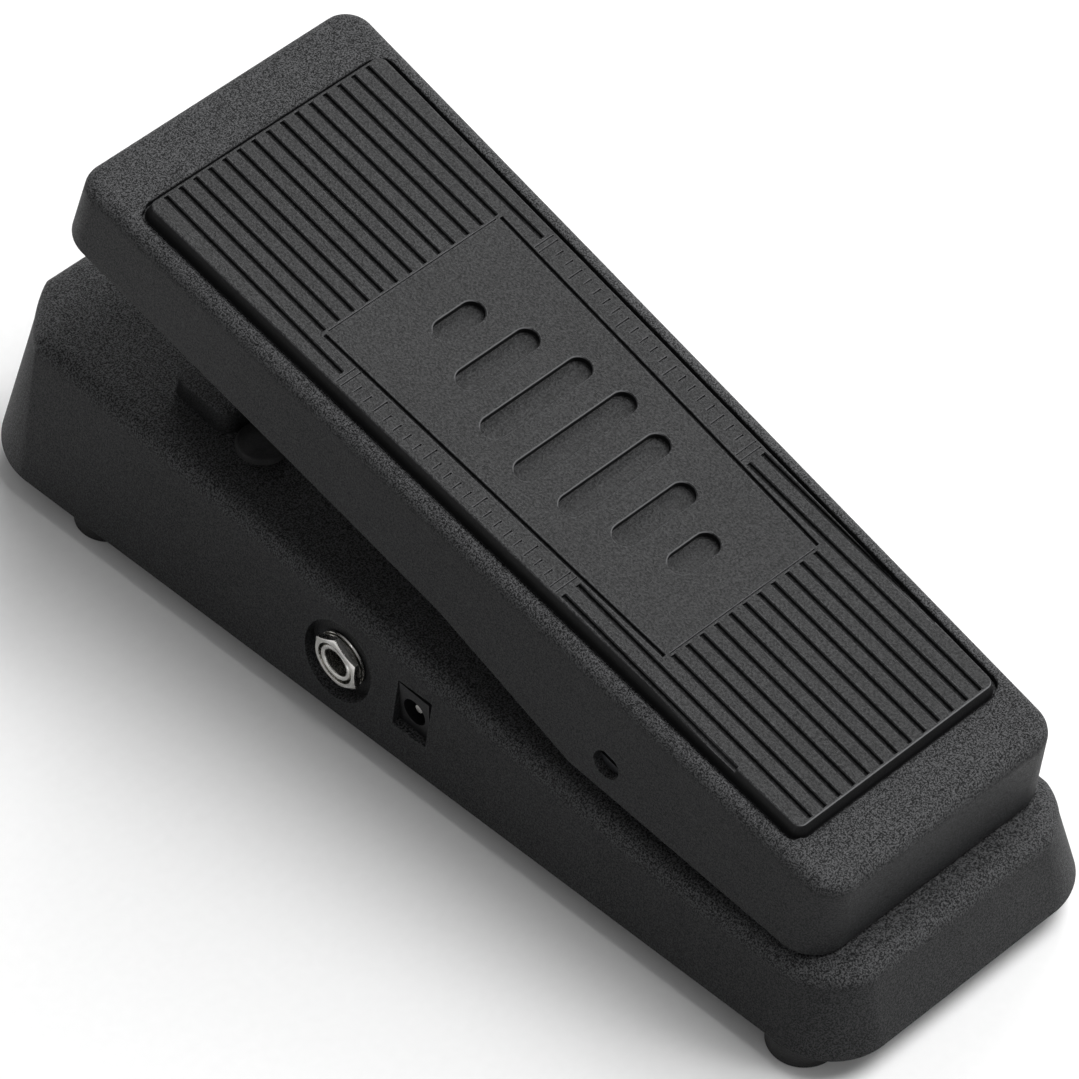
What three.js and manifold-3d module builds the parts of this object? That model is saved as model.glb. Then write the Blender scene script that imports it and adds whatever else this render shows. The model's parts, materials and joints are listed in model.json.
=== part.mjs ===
// A rocker pedal for a guitar: a cast base, a cast treadle that rocks on a steel axle, and inside the
// base the rack, pinion, potentiometer, footswitch, sockets, circuit board and battery.
// Millimetres. +X is the player's right, +Y points to the toe end and +Z is up. The feet stand on z = 0.
// The pedal is drawn heel-down, which is its rest position.

import * as THREE from "three";
import { mergeVertices } from "three/addons/utils/BufferGeometryUtils.js";
import Module from "manifold-3d";

const wasm = await Module();
wasm.setup();

// ---- Driving dimensions -------------------------------------------------------------------------

const GAP = 0.3; // left between pieces that touch
const OVER = 1; // how far a tool runs past a face, or one shape runs into the next that it joins
const FAR = 60; // longer than any hole or pocket that a cutting tool passes through
const RECESS_ROUND = 32; // facets of the recess round a socket
const ROUND = 24; // of a large round piece
const MIDDLE_ROUND = 16; // of a component on the board
const SMALL_ROUND = 12; // of a small screw or pin

const BASE = {
  length: 252,
  heelHalf: 38.6, // half widths of the bottom edge
  toeHalf: 51,
  heelRadius: 14.8, // plan corner radii of the bottom edge
  toeRadius: 20.2,
  bottom: 6, // height of the bottom edge above the floor
  heelTop: 27.2,
  kneeY: -75, // flat top behind this line, ramp in front of it
  rampSlope: 0.0947,
  sideDraft: 0.175,
  endDraft: 0.194,
  edgeRadius: 5,
  wall: 3,
};

const PLATE = { thickness: 1.5, inset: 2, rebate: 1.6 };

// The round-headed screws that hold the feet, the board, the bracket and the clevis.
const SCREW = {
  radius: 1.5,
  headRadius: 3,
  headHeight: 1.7,
  holeRadius: 1.8,
  slotHalf: 2,
  slotDepth: 0.8,
};

const FOOT = {
  radius: 8,
  tipRadius: 7.8,
  recessRadius: 3.4,
  recessDepth: 3,
  bossRadius: 4,
  screwHead: 1, // height of the screw's head above the floor
  screwLength: 12,
  centres: {
    toe_left: [-39.7, 89.8],
    toe_right: [39.7, 89.8],
    heel_left: [-31, -110.3],
    heel_right: [31, -110.3],
  },
};

const PIVOT = { y: -57.7, z: 42, tilt: THREE.MathUtils.degToRad(12.25) };
const TREADLE_TRAVEL = THREE.MathUtils.degToRad(11.5); // from heel-down to toe-down

// The treadle's own frame has its origin on the axle, y along the treadle and z square to its mat.
const TREADLE = {
  heelY: -58.3,
  toeY: 163.4,
  heelHalf: 33.7,
  toeHalf: 39.8,
  heelRadius: 8.5,
  toeRadius: 8,
  draft: 0.085,
  top: 20.4,
  underside: 16.2,
  open: -20, // the hollow under the treadle is open below this height
  edgeRadius: 3.4,
  wall: 3,
  skirt: { heelZ: -2, apexY: 8, apexZ: -8.9, shoulderY: 47.8, shoulderZ: -2.3, toeZ: 2.1 },
};

const MAT = {
  heelY: -41.5,
  toeY: 146.2,
  heelHalf: 27.2,
  toeHalf: 31.9,
  cornerRadius: 2,
  flare: 1, // how much wider its bottom is than its top
  top: 22.64,
  seat: 18.9, // floor of the recess in the casting
  sideGap: 2.1, // between the mat and the wall of its recess, at the sides and at the ends
  endGap: 1.4,
  panel: { heelY: 3.6, toeY: 100.5, heelHalf: 20.7, toeHalf: 23.65 },
  groove: {
    pitch: 3.93,
    width: 1,
    depth: 1,
    rim: 0.6,
    outermost: 7, // grooves on either side of the middle one
    besideToe: 91.7, // where the outermost grooves end beside the panel
    besideHeel: 26, // and where the outer two pairs end, from the heel
    edgeY: -24, // the outermost grooves leave over the mat's edge here
  },
};

const AXLE = { radius: 3, boreRadius: 3.3, bossRadius: 7.5, bossFace: 27.5, end: 31.5 };
const SET_SCREW = { length: 2, slotDepth: 0.9, slotWidth: 1 };
const LUG = { inner: 19.5, outer: 24.5, radius: 8, flare: 2, sink: 1.5, boreRadius: 5 };
const BUSH = { flangeRadius: 6.5, flange: 1, washer: 0.7 };

// The rack hangs from a pin under the treadle. The pin is as far above the axle's height heel-down as
// it is below it toe-down, so that the rack stays almost on one line.
const RACK = {
  arm: 65,
  halfWidth: 3,
  eyeRadius: 3.6,
  eyeBore: 1.8,
  pinRadius: 1.5,
  back: 2.4, // from the pin's line to the rack's plain face
  pitchLine: 2, // from the pin's line to the pitch line of the teeth
  bottom: 21.6,
  toothed: 18,
};
const RACK_SLOT = { half: 8, heelY: -2, toeY: 16.5 }; // in the base's top
const GUIDE = { play: 0.35, sidePlay: 0.4, cheek: 1.6, lip: 2.4 };
const GEAR = {
  module: 0.8,
  teeth: 12,
  addendum: 0.6,
  dedendum: 0.8,
  backlash: 0.3,
  mesh: 0.35, // how far the pitch lines stand apart
  pressureAngle: THREE.MathUtils.degToRad(20),
  z: 23.5,
};
const CLEVIS = {
  inner: 3.4,
  outer: 5,
  tail: 4,
  earHalf: 5.5,
  padHalf: 9, // of the casting's pad that the clevis is screwed to
  halfLength: 13,
  screwOffset: 9,
  screwLength: 6.5,
  holeTop: 17.7, // of the blind holes for its screws
  padBottom: 14.4,
  sheet: 1.5,
};
const CLEVIS_PIN = { end: 6.6, headEnd: 7.2, headRadius: 2.6 };

const POT = {
  radius: 8.5,
  length: 8,
  face: -9, // x of the body's face, towards the pinion
  bushRadius: 3.4,
  bushEnd: -4.5,
  shaftRadius: 2.5,
  shaftEnd: 4.4,
  nut: 2,
  nutAcross: 10,
  terminal: { y: [-5, 0, 5], half: 0.8, x: [-12, -11], length: 3 },
};
const BRACKET = {
  sheet: 1.5,
  heelY: -1,
  toeY: 34,
  bottom: 13,
  top: 30.6,
  armBottom: 18,
  armTop: 29,
  armEnd: 5,
  flangeWidth: 11,
  flangeHeelY: 25,
  screw: [-14.5, 29.5],
  screwLength: 5.5,
  bossRadius: 4,
};

const JACK = {
  y: 13.4,
  z: 19.6,
  recessRadius: 9.45,
  recessFloor: 41, // distance of the seat from the middle plane
  padFace: 37.5,
  pad: { y: [-16, 25], top: 30, thickness: 8 }, // the thick wall behind the sockets
  threadRadius: 4.75,
  threadEnd: 43.9,
  boreRadius: 3.2,
  holeRadius: 5.1,
  washerRadius: 6.5,
  washer: 0.5,
  nutAcross: 11.8,
  nut: 1.9,
  nutPlay: 0.25, // between the thread and the bores of its nut and washer
  body: { half: 8, back: 17, wall: 3 },
};

const DC = {
  y: -7.8,
  z: 20.1,
  halfWidth: 4.4,
  halfHeight: 5.6,
  clearance: 0.35,
  face: 41.2,
  back: 27,
  boreRadius: 3.2,
  boreFloor: 31.5,
  pinRadius: 1,
  pinTip: 40,
};

const SWITCH = {
  y: 70,
  plateau: { half: 31, heelY: 60.5, toeY: 79, radius: 4, draft: 1, top: 45.8, hollowTop: 43 },
  bodyHalf: [8.6, 6.4],
  bodyHeight: 17,
  terminal: { x: [-5, 0, 5], y: [-4, 4], half: [0.4, 1], length: 4 },
  threadRadius: 6,
  threadTop: 50.5,
  nutAcross: 14,
  nut: 2.3,
  plungerRadius: 4.6,
  plungerTop: 57.3,
  plungerFoot: 44,
  crown: 1, // the chamfer round the plunger's top
  travel: 3,
  pad: { half: 10, thickness: 2 }, // under the treadle
};

const BUMPER = {
  toe: { x: 26.4, y: 54, radius: 6, height: 2.7 },
  heel: { x: 20, y: -100, radius: 6, height: 3 },
};
const BUMPER_TAPER = 0.6; // how much smaller the top's radius is
const POST = { toeRadius: 4, heelRadius: 4.5 };

const BOARD = {
  half: 30,
  heelY: 37,
  toeY: 84,
  bottom: 11,
  thickness: 1.6,
  post: { x: 26, y: 60, radius: 3.2, holeTop: 22 },
  screwLength: 10,
};
const INDUCTOR = { centre: [-16, 48], radius: 9, height: 11 };
const FILM_CAPACITOR = { x: [-3, 6], halfWidth: 2.5, y: [42, 55], height: 9 };
const ELECTROLYTIC = { x: [14, 22], y: 47, radius: 3.2, height: 8 };
const TRANSISTOR = { x: [-12, 12], y: 72, radius: 2.4, height: 5, flat: 1 };
const RESISTOR = { y: 62, half: 3.2, radius: 1.2 };

const BATTERY = { left: 8, width: 26.5, heelY: -57, length: 48.5, bottom: 8, height: 17.2 };
const BATTERY_TERMINAL = { offset: 6.35, height: 2.6, radii: [2.9, 3.8] };
const BATTERY_SNAP = { inset: 0.5, halfHeight: 6.5, thickness: 3.6 };

const FINISHES = {
  casting: { color: 0x2a2b2d, roughness: 0.62, metalness: 0.25 },
  mat_rubber: { color: 0x242527, roughness: 0.7, metalness: 0 },
  black_rubber: { color: 0x161617, roughness: 0.85, metalness: 0 },
  plate_steel: { color: 0x2c2d2f, roughness: 0.5, metalness: 0.6 },
  steel: { color: 0x9b9da0, roughness: 0.35, metalness: 1 },
  nickel: { color: 0xc9cbcd, roughness: 0.18, metalness: 1 },
  black_plastic: { color: 0x18191a, roughness: 0.45, metalness: 0 },
  nylon: { color: 0xd9d6cc, roughness: 0.5, metalness: 0 },
  board_green: { color: 0x23573a, roughness: 0.5, metalness: 0 },
  component_red: { color: 0x8c2b1f, roughness: 0.4, metalness: 0 },
  component_blue: { color: 0x23418c, roughness: 0.4, metalness: 0 },
  battery_case: { color: 0x5a5d62, roughness: 0.35, metalness: 0.7 },
};

// ---- Solids -------------------------------------------------------------------------------------

function toManifold(geometry) {
  const bare = geometry.clone();
  bare.deleteAttribute("normal");
  bare.deleteAttribute("uv");
  const merged = mergeVertices(bare, 1e-3);
  const vertProperties = merged.attributes.position.array;
  const triVerts = new Uint32Array(merged.index.array);
  return new wasm.Manifold(new wasm.Mesh({ numProp: 3, vertProperties, triVerts }));
}

function toGeometry(manifold) {
  const { vertProperties, triVerts } = manifold.getMesh();
  const geometry = new THREE.BufferGeometry();
  geometry.setAttribute("position", new THREE.BufferAttribute(vertProperties, 3));
  geometry.setIndex(new THREE.BufferAttribute(triVerts, 1));
  return geometry;
}

const asSolid = (shape) => (shape.isBufferGeometry ? toManifold(shape) : shape);
const join = (...shapes) => shapes.map(asSolid).reduce((whole, next) => whole.add(next));
function cut(shape, ...tools) {
  return tools.map(asSolid).reduce((whole, tool) => whole.subtract(tool), asSolid(shape));
}
const keepInside = (shape, limit) => asSolid(shape).intersect(asSolid(limit));

function block([x0, x1], [y0, y1], [z0, z1]) {
  const geometry = new THREE.BoxGeometry(x1 - x0, y1 - y0, z1 - z0);
  return geometry.translate((x0 + x1) / 2, (y0 + y1) / 2, (z0 + z1) / 2);
}

// A round bar along Z from z0 to z1, and along X from x0 to x1. The second radius is at the far end.
function barZ([x, y], [z0, z1], radius, farRadius = radius, facets = ROUND) {
  const geometry = new THREE.CylinderGeometry(farRadius, radius, z1 - z0, facets);
  return geometry.rotateX(Math.PI / 2).translate(x, y, (z0 + z1) / 2);
}

function barX([y, z], [x0, x1], radius, facets = ROUND) {
  const geometry = new THREE.CylinderGeometry(radius, radius, x1 - x0, facets);
  return geometry.rotateZ(-Math.PI / 2).translate((x0 + x1) / 2, y, z);
}

// A screw's clearance hole along Z.
const drill = (centre, span) => barZ(centre, span, SCREW.holeRadius, SCREW.holeRadius, SMALL_ROUND);

// A block whose middle lies at x and y.
function blockAt([x, y], [halfX, halfY], span) {
  return block([x - halfX, x + halfX], [y - halfY, y + halfY], span);
}

// A six-sided prism, across its flats, along Z or X.
const hexRadius = (across) => across / Math.sqrt(3);
const hexZ = (centre, span, across) => barZ(centre, span, hexRadius(across), hexRadius(across), 6);
const hexX = (centre, span, across) => barX(centre, span, hexRadius(across), 6);

// An outline in Y and Z, given thickness along X from x0 to x1.
function plateX(points, [x0, x1]) {
  const outline = new THREE.Shape(points.map(([y, z]) => new THREE.Vector2(y, z)));
  const geometry = new THREE.ExtrudeGeometry(outline, { depth: x1 - x0, bevelEnabled: false });
  geometry.applyMatrix4(
    new THREE.Matrix4().makeBasis(
      new THREE.Vector3(0, 1, 0),
      new THREE.Vector3(0, 0, 1),
      new THREE.Vector3(1, 0, 0),
    ),
  );
  return geometry.translate(x0, 0, 0);
}

const mirrorSpan = (side, [near, far]) => (side > 0 ? [near, far] : [-far, -near]);
const bothSides = (make) => [-1, 1].map(make);
const mix = (a, b, share) => a + (b - a) * share;

// The right half of a plan outline that tapers from heel to toe and has round corners, with each
// point's outward direction. `stations` are further places along the straight side.
function halfOutline(plan, stations = [], steps = 6) {
  const { heelY, toeY, heelHalf, toeHalf, heelRadius, toeRadius } = plan;
  const sideX = (y) => mix(heelHalf, toeHalf, (y - heelY) / (toeY - heelY));
  const corner = (centreY, radius, from, to) =>
    Array.from({ length: steps + 1 }, (_, i) => {
      const angle = mix(from, to, i / steps);
      const nx = Math.cos(angle);
      const ny = Math.sin(angle);
      return { x: sideX(centreY) - radius + radius * nx, y: centreY + radius * ny, nx, ny };
    });
  return [
    ...corner(heelY + heelRadius, heelRadius, -Math.PI / 2, 0),
    ...stations.map((y) => ({ x: sideX(y), y, nx: 1, ny: 0 })),
    ...corner(toeY - toeRadius, toeRadius, 0, Math.PI / 2),
  ];
}

// A closed solid through a stack of rings. Each ring is { inset(point), height(y) } on the same half
// outline, and its other half is the mirror image in the middle plane. Rungs across close the ends.
function loft(half, rings) {
  const positions = [];
  const index = [];
  for (const { inset, height } of rings) {
    const right = half.map((point) => {
      const by = inset(point);
      const y = point.y - point.ny * by;
      return [point.x - point.nx * by, y, height(y)];
    });
    right.forEach(([x, y, z]) => positions.push(x, y, z));
    right.toReversed().forEach(([x, y, z]) => positions.push(-x, y, z));
  }
  const around = 2 * half.length;
  for (let ring = 0; ring < rings.length - 1; ring += 1) {
    for (let i = 0; i < around; i += 1) {
      const a = ring * around + i;
      const b = ring * around + ((i + 1) % around);
      index.push(a, b, b + around, a, b + around, a + around);
    }
  }
  const top = (rings.length - 1) * around;
  for (let i = 0; i < half.length - 1; i += 1) {
    const [r0, r1, l1, l0] = [i, i + 1, around - 2 - i, around - 1 - i];
    index.push(r0, l1, r1, r0, l0, l1);
    index.push(top + r0, top + r1, top + l1, top + r0, top + l1, top + l0);
  }
  const geometry = new THREE.BufferGeometry();
  geometry.setAttribute("position", new THREE.BufferAttribute(new Float32Array(positions), 3));
  geometry.setIndex(index);
  return geometry;
}

// The rings of a rounded top edge: from the wall to the top surface, at the given radius.
function roundedEdge(wallInset, top, radius, steps = 4) {
  return Array.from({ length: steps }, (_, i) => {
    const angle = (Math.PI / 2) * ((i + 1) / steps);
    return {
      inset: (point) => wallInset(point) + radius * (1 - Math.cos(angle)),
      height: (y) => top(y) - radius * (1 - Math.sin(angle)),
    };
  });
}

// ---- Scene --------------------------------------------------------------------------------------

const pedal = new THREE.Group();
const treadleGroup = new THREE.Group(); // the treadle's own frame, tilted heel-down about the axle
treadleGroup.position.set(0, PIVOT.y, PIVOT.z);
treadleGroup.rotation.x = PIVOT.tilt;
pedal.add(treadleGroup);

function addPiece(name, finish, shape, parent = pedal) {
  const geometry = shape.isBufferGeometry ? shape : toGeometry(shape);
  const mesh = new THREE.Mesh(geometry, new THREE.MeshStandardMaterial(FINISHES[finish]));
  mesh.name = name;
  parent.add(mesh);
}

const SIDES = { left: -1, right: 1 };

// ---- Base ---------------------------------------------------------------------------------------

const baseTop = (y) => BASE.heelTop + Math.max(0, y - BASE.kneeY) * BASE.rampSlope;
const baseDraft = ({ nx, ny }) => BASE.sideDraft * Math.abs(nx) + BASE.endDraft * Math.abs(ny);
const baseInset = (drop) => (point) => baseDraft(point) * (baseTop(point.y) - drop - BASE.bottom);
const baseOutline = halfOutline(
  {
    heelY: -BASE.length / 2,
    toeY: BASE.length / 2,
    heelHalf: BASE.heelHalf,
    toeHalf: BASE.toeHalf,
    heelRadius: BASE.heelRadius,
    toeRadius: BASE.toeRadius,
  },
  [BASE.kneeY],
);

function baseOuter() {
  const wallInset = baseInset(BASE.edgeRadius);
  return loft(baseOutline, [
    { inset: () => 0, height: () => BASE.bottom },
    { inset: wallInset, height: (y) => baseTop(y) - BASE.edgeRadius },
    ...roundedEdge(wallInset, baseTop, BASE.edgeRadius),
  ]);
}

function baseHollow() {
  const inset = baseInset(BASE.wall);
  return loft(baseOutline, [
    { inset: () => BASE.wall, height: () => BASE.bottom - OVER },
    { inset: (point) => inset(point) + BASE.wall, height: (y) => baseTop(y) - BASE.wall },
  ]);
}

function plateRebate() {
  return loft(baseOutline, [
    { inset: () => PLATE.rebate, height: () => BASE.bottom - OVER },
    { inset: () => PLATE.rebate, height: () => BASE.bottom + PLATE.thickness + GAP },
  ]);
}

// The raised pad in front of the bumpers, which gives the footswitch a level seat.
function switchPlateau() {
  const { half, heelY, toeY, radius, draft, top } = SWITCH.plateau;
  const plan = { heelY, toeY, heelHalf: half, toeHalf: half, heelRadius: radius, toeRadius: radius };
  const outline = halfOutline(plan, [], 4);
  return loft(outline, [
    { inset: () => 0, height: () => baseTop(heelY) - OVER },
    { inset: () => draft, height: () => top },
  ]);
}

function pivotLug(side) {
  const outline = new THREE.Shape();
  const foot = baseTop(PIVOT.y) - PIVOT.z - LUG.sink;
  outline.moveTo(-LUG.radius - LUG.flare, foot);
  outline.lineTo(LUG.radius + LUG.flare, foot);
  outline.absarc(0, 0, LUG.radius, 0, Math.PI, false);
  outline.closePath();
  const points = outline.getPoints(10).map(({ x, y }) => [PIVOT.y + x, PIVOT.z + y]);
  return plateX(points.slice(0, -1), mirrorSpan(side, [LUG.inner, LUG.outer]));
}

const footCentres = Object.values(FOOT.centres);
const boardPostCentres = bothSides((side) => [side * BOARD.post.x, BOARD.post.y]);

function baseBosses() {
  const bossBottom = BASE.bottom + PLATE.thickness + GAP;
  const boardTop = BOARD.bottom + BOARD.thickness + GAP;
  const boss = (radius, from) => (centre) => barZ(centre, [from, FAR], radius, radius, SMALL_ROUND);
  const { y, top, thickness } = JACK.pad;
  const jackPad = [JACK.padFace, JACK.padFace + thickness];
  return [
    ...footCentres.map(boss(FOOT.bossRadius, bossBottom)),
    ...boardPostCentres.map(boss(BOARD.post.radius, boardTop)),
    boss(BRACKET.bossRadius, BRACKET.top + GAP)(BRACKET.screw),
    ...bothSides((side) => block(mirrorSpan(side, jackPad), y, [bossBottom, top])),
  ];
}

function jackOpenings(side) {
  const centre = [JACK.y, JACK.z];
  return [
    barX(centre, mirrorSpan(side, [JACK.recessFloor, FAR]), JACK.recessRadius, RECESS_ROUND),
    barX(centre, mirrorSpan(side, [JACK.padFace - OVER, FAR]), JACK.holeRadius),
  ];
}

function dcOpening() {
  const halfY = DC.halfWidth + DC.clearance;
  const halfZ = DC.halfHeight + DC.clearance;
  return block([-FAR, OVER - JACK.padFace], [DC.y - halfY, DC.y + halfY], [DC.z - halfZ, DC.z + halfZ]);
}

// The pocket for the footswitch's body, and the round hole for its thread.
function switchOpenings() {
  const below = baseTop(SWITCH.plateau.heelY) - 2 * BASE.wall;
  const pocketHalf = SWITCH.bodyHalf.map((half) => half + GAP);
  return [
    blockAt([0, SWITCH.y], pocketHalf, [below, SWITCH.plateau.hollowTop]),
    barZ([0, SWITCH.y], [below, FAR], SWITCH.threadRadius + GAP),
  ];
}

function baseHousing() {
  const outer = asSolid(baseOuter());
  const shell = cut(outer, baseHollow(), plateRebate());
  const inside = keepInside(join(...baseBosses()), outer);
  const solid = join(shell, inside, switchPlateau(), pivotLug(-1), pivotLug(1));
  const lugSpan = [LUG.inner - OVER, LUG.outer + OVER];
  const lugBore = (side) => barX([PIVOT.y, PIVOT.z], mirrorSpan(side, lugSpan), LUG.boreRadius);
  return cut(
    solid,
    ...footCentres.map((centre) => drill(centre, [0, BASE.bottom + FOOT.screwLength])),
    ...boardPostCentres.map((centre) => drill(centre, [0, BOARD.post.holeTop])),
    drill(BRACKET.screw, [0, BRACKET.top + BRACKET.screwLength / 2]),
    ...bothSides(lugBore),
    ...switchOpenings(),
    block([-RACK_SLOT.half, RACK_SLOT.half], [RACK_SLOT.heelY, RACK_SLOT.toeY], [BRACKET.top, FAR]),
    ...jackOpenings(-1),
    ...jackOpenings(1),
    dcOpening(),
  );
}

function bottomPlate() {
  const inset = () => PLATE.inset;
  const sheet = loft(baseOutline, [
    { inset, height: () => BASE.bottom },
    { inset, height: () => BASE.bottom + PLATE.thickness },
  ]);
  return cut(sheet, ...footCentres.map((centre) => drill(centre, [0, FAR])));
}

function foot(centre) {
  const body = barZ(centre, [0, BASE.bottom - GAP], FOOT.tipRadius, FOOT.radius);
  return cut(body, barZ(centre, [-OVER, FOOT.recessDepth], FOOT.recessRadius), drill(centre, [0, FAR]));
}

// A round-headed machine screw that points up, with a cross slot in its head.
function screw([x, y], headZ, length) {
  const { radius, headRadius, headHeight, slotHalf, slotDepth } = SCREW;
  const head = barZ([x, y], [headZ, headZ + headHeight], headRadius, headRadius, SMALL_ROUND);
  const shank = barZ([x, y], [headZ + headHeight / 2, headZ + length], radius, radius, SMALL_ROUND);
  const slotSpan = [headZ - OVER, headZ + slotDepth];
  const slots = [blockAt([x, y], [slotHalf, GAP], slotSpan), blockAt([x, y], [GAP, slotHalf], slotSpan)];
  return cut(join(head, shank), ...slots);
}

function addBase() {
  addPiece("base_housing", "casting", baseHousing());
  addPiece("bottom_plate", "plate_steel", bottomPlate());
  for (const [place, centre] of Object.entries(FOOT.centres)) {
    addPiece(`foot_${place}`, "black_rubber", foot(centre));
    addPiece(`foot_screw_${place}`, "steel", screw(centre, FOOT.screwHead, FOOT.screwLength));
  }
  for (const [place, side] of Object.entries(SIDES)) {
    for (const [end, { x, y, radius, height }] of Object.entries(BUMPER)) {
      const span = [baseTop(y + radius) + GAP, bumperTop({ y, height })];
      const bumper = barZ([side * x, y], span, radius, radius - BUMPER_TAPER);
      addPiece(`${end}_bumper_${place}`, "black_rubber", bumper);
    }
  }
}

// ---- Treadle ------------------------------------------------------------------------------------

const treadleInset = (z) => TREADLE.draft * z;

function skirtEdge(y) {
  const { heelZ, apexY, apexZ, shoulderY, shoulderZ, toeZ } = TREADLE.skirt;
  if (y < apexY) return mix(heelZ, apexZ, (y - TREADLE.heelY) / (apexY - TREADLE.heelY));
  if (y < shoulderY) return mix(apexZ, shoulderZ, (y - apexY) / (shoulderY - apexY));
  return mix(shoulderZ, toeZ, (y - shoulderY) / (TREADLE.toeY - shoulderY));
}

const treadleOutline = halfOutline(TREADLE, [TREADLE.skirt.apexY, TREADLE.skirt.shoulderY]);

function treadleOuter() {
  const wallTop = TREADLE.top - TREADLE.edgeRadius;
  const wallInset = () => treadleInset(wallTop);
  return loft(treadleOutline, [
    { inset: ({ y }) => treadleInset(skirtEdge(y)), height: skirtEdge },
    { inset: wallInset, height: () => wallTop },
    ...roundedEdge(wallInset, () => TREADLE.top, TREADLE.edgeRadius),
  ]);
}

function treadleHollow() {
  const ring = (z) => ({ inset: () => TREADLE.wall + treadleInset(z), height: () => z });
  return loft(treadleOutline, [ring(TREADLE.open), ring(TREADLE.underside)]);
}

const matCorners = { heelRadius: MAT.cornerRadius, toeRadius: MAT.cornerRadius };
const matOutline = halfOutline({ ...MAT, ...matCorners }, [], 3);

// The recess that the mat lies in, with a gap all round the mat.
function matSeat() {
  const gap = ({ nx, ny }) => -Math.max(MAT.sideGap * Math.abs(nx), MAT.endGap * Math.abs(ny));
  return loft(matOutline, [
    { inset: gap, height: () => MAT.seat },
    { inset: gap, height: () => TREADLE.top + OVER },
  ]);
}

// Where a point at y and z in the pedal's frame lies in the treadle's frame, at a tilt of the treadle.
const toeDownTilt = PIVOT.tilt - TREADLE_TRAVEL;
function toTreadle(y, z, tilt) {
  const dy = y - PIVOT.y;
  const dz = z - PIVOT.z;
  return [dy * Math.cos(tilt) + dz * Math.sin(tilt), dz * Math.cos(tilt) - dy * Math.sin(tilt)];
}

// The ends of the posts that meet the bumpers: the toe pair toe-down, and the heel pair heel-down. The
// heel posts have square ends at an angle to their bumpers, so they stop short by their lean.
const bumperTop = ({ y, height }) => baseTop(y) + height;
const heelPostLean = POST.heelRadius * Math.tan(PIVOT.tilt);
const toePost = toTreadle(BUMPER.toe.y, bumperTop(BUMPER.toe) + GAP, toeDownTilt);
const heelPost = toTreadle(BUMPER.heel.y, bumperTop(BUMPER.heel) + GAP + heelPostLean, PIVOT.tilt);
const pinAngle = TREADLE_TRAVEL / 2 - PIVOT.tilt;
const rackPin = [RACK.arm * Math.cos(pinAngle), RACK.arm * Math.sin(pinAngle)];

function treadleBosses() {
  const roof = TREADLE.underside + OVER;
  const bosses = bothSides((side) => [
    barX([0, 0], mirrorSpan(side, [AXLE.bossFace, FAR]), AXLE.bossRadius),
    barZ([side * BUMPER.toe.x, toePost[0]], [toePost[1], roof], POST.toeRadius),
    barZ([side * BUMPER.heel.x, heelPost[0]], [heelPost[1], roof], POST.heelRadius),
  ]);
  const { padHalf, halfLength, padBottom } = CLEVIS;
  return [...bosses.flat(), blockAt([0, rackPin[0]], [padHalf, halfLength], [padBottom, roof])];
}

const clevisScrewCentres = {
  heel: [0, rackPin[0] - CLEVIS.screwOffset],
  toe: [0, rackPin[0] + CLEVIS.screwOffset],
};

function treadleCasting() {
  const outer = asSolid(treadleOuter());
  const bosses = keepInside(join(...treadleBosses()), join(outer, treadleHollow()));
  return cut(
    join(cut(outer, treadleHollow()), bosses),
    matSeat(),
    barX([0, 0], [-FAR, FAR], AXLE.boreRadius),
    ...Object.values(clevisScrewCentres).map((centre) => drill(centre, [0, CLEVIS.holeTop])),
  );
}

// The ribbed rubber mat: parallel grooves at both ends of a plain panel, and the outer two pairs of
// them run on beside the panel.
function treadleMat() {
  const slab = loft(matOutline, [
    { inset: () => -MAT.flare, height: () => MAT.seat + GAP },
    { inset: () => 0, height: () => MAT.top },
  ]);
  const { panel, groove } = MAT;
  const span = [MAT.top - groove.depth, MAT.top + OVER];
  const cutters = [];
  for (let i = -groove.outermost; i <= groove.outermost; i += 1) {
    const x = i * groove.pitch;
    const inBy = groove.outermost - Math.abs(i);
    const toeStart = inBy === 0 ? groove.besideToe : panel.toeY + groove.rim;
    const heelEnd = inBy <= 1 ? groove.besideHeel : panel.heelY - groove.rim;
    const heelStart = inBy === 0 ? groove.edgeY : MAT.heelY + groove.rim;
    const across = [x - groove.width / 2, x + groove.width / 2];
    cutters.push(block(across, [toeStart, MAT.toeY - groove.rim], span));
    cutters.push(block(across, [heelStart, heelEnd], span));
  }
  return cut(slab, ...cutters);
}

function clevis() {
  const [y, z] = rackPin;
  const flangeTop = CLEVIS.padBottom - GAP;
  const flangeBottom = flangeTop - CLEVIS.sheet;
  const flange = blockAt([0, y], [CLEVIS.outer, CLEVIS.halfLength], [flangeBottom, flangeTop]);
  const { tail, earHalf } = CLEVIS;
  const earOutline = [
    [y - tail, z - tail],
    [y + tail, z - tail],
    [y + tail, z + tail],
    [y + earHalf, flangeTop - GAP],
    [y - earHalf, flangeTop - GAP],
    [y - tail, z + tail],
  ];
  const ears = bothSides((side) => plateX(earOutline, mirrorSpan(side, [CLEVIS.inner, CLEVIS.outer])));
  return cut(
    join(flange, ...ears),
    barX([y, z], [-FAR, FAR], RACK.eyeBore, SMALL_ROUND),
    ...Object.values(clevisScrewCentres).map((centre) => drill(centre, [0, FAR])),
  );
}

function clevisPin() {
  const shank = barX(rackPin, [-CLEVIS_PIN.end, CLEVIS_PIN.end], RACK.pinRadius, SMALL_ROUND);
  const headSpan = [CLEVIS.outer + GAP, CLEVIS_PIN.headEnd];
  return join(shank, barX(rackPin, headSpan, CLEVIS_PIN.headRadius, SMALL_ROUND));
}

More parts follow.
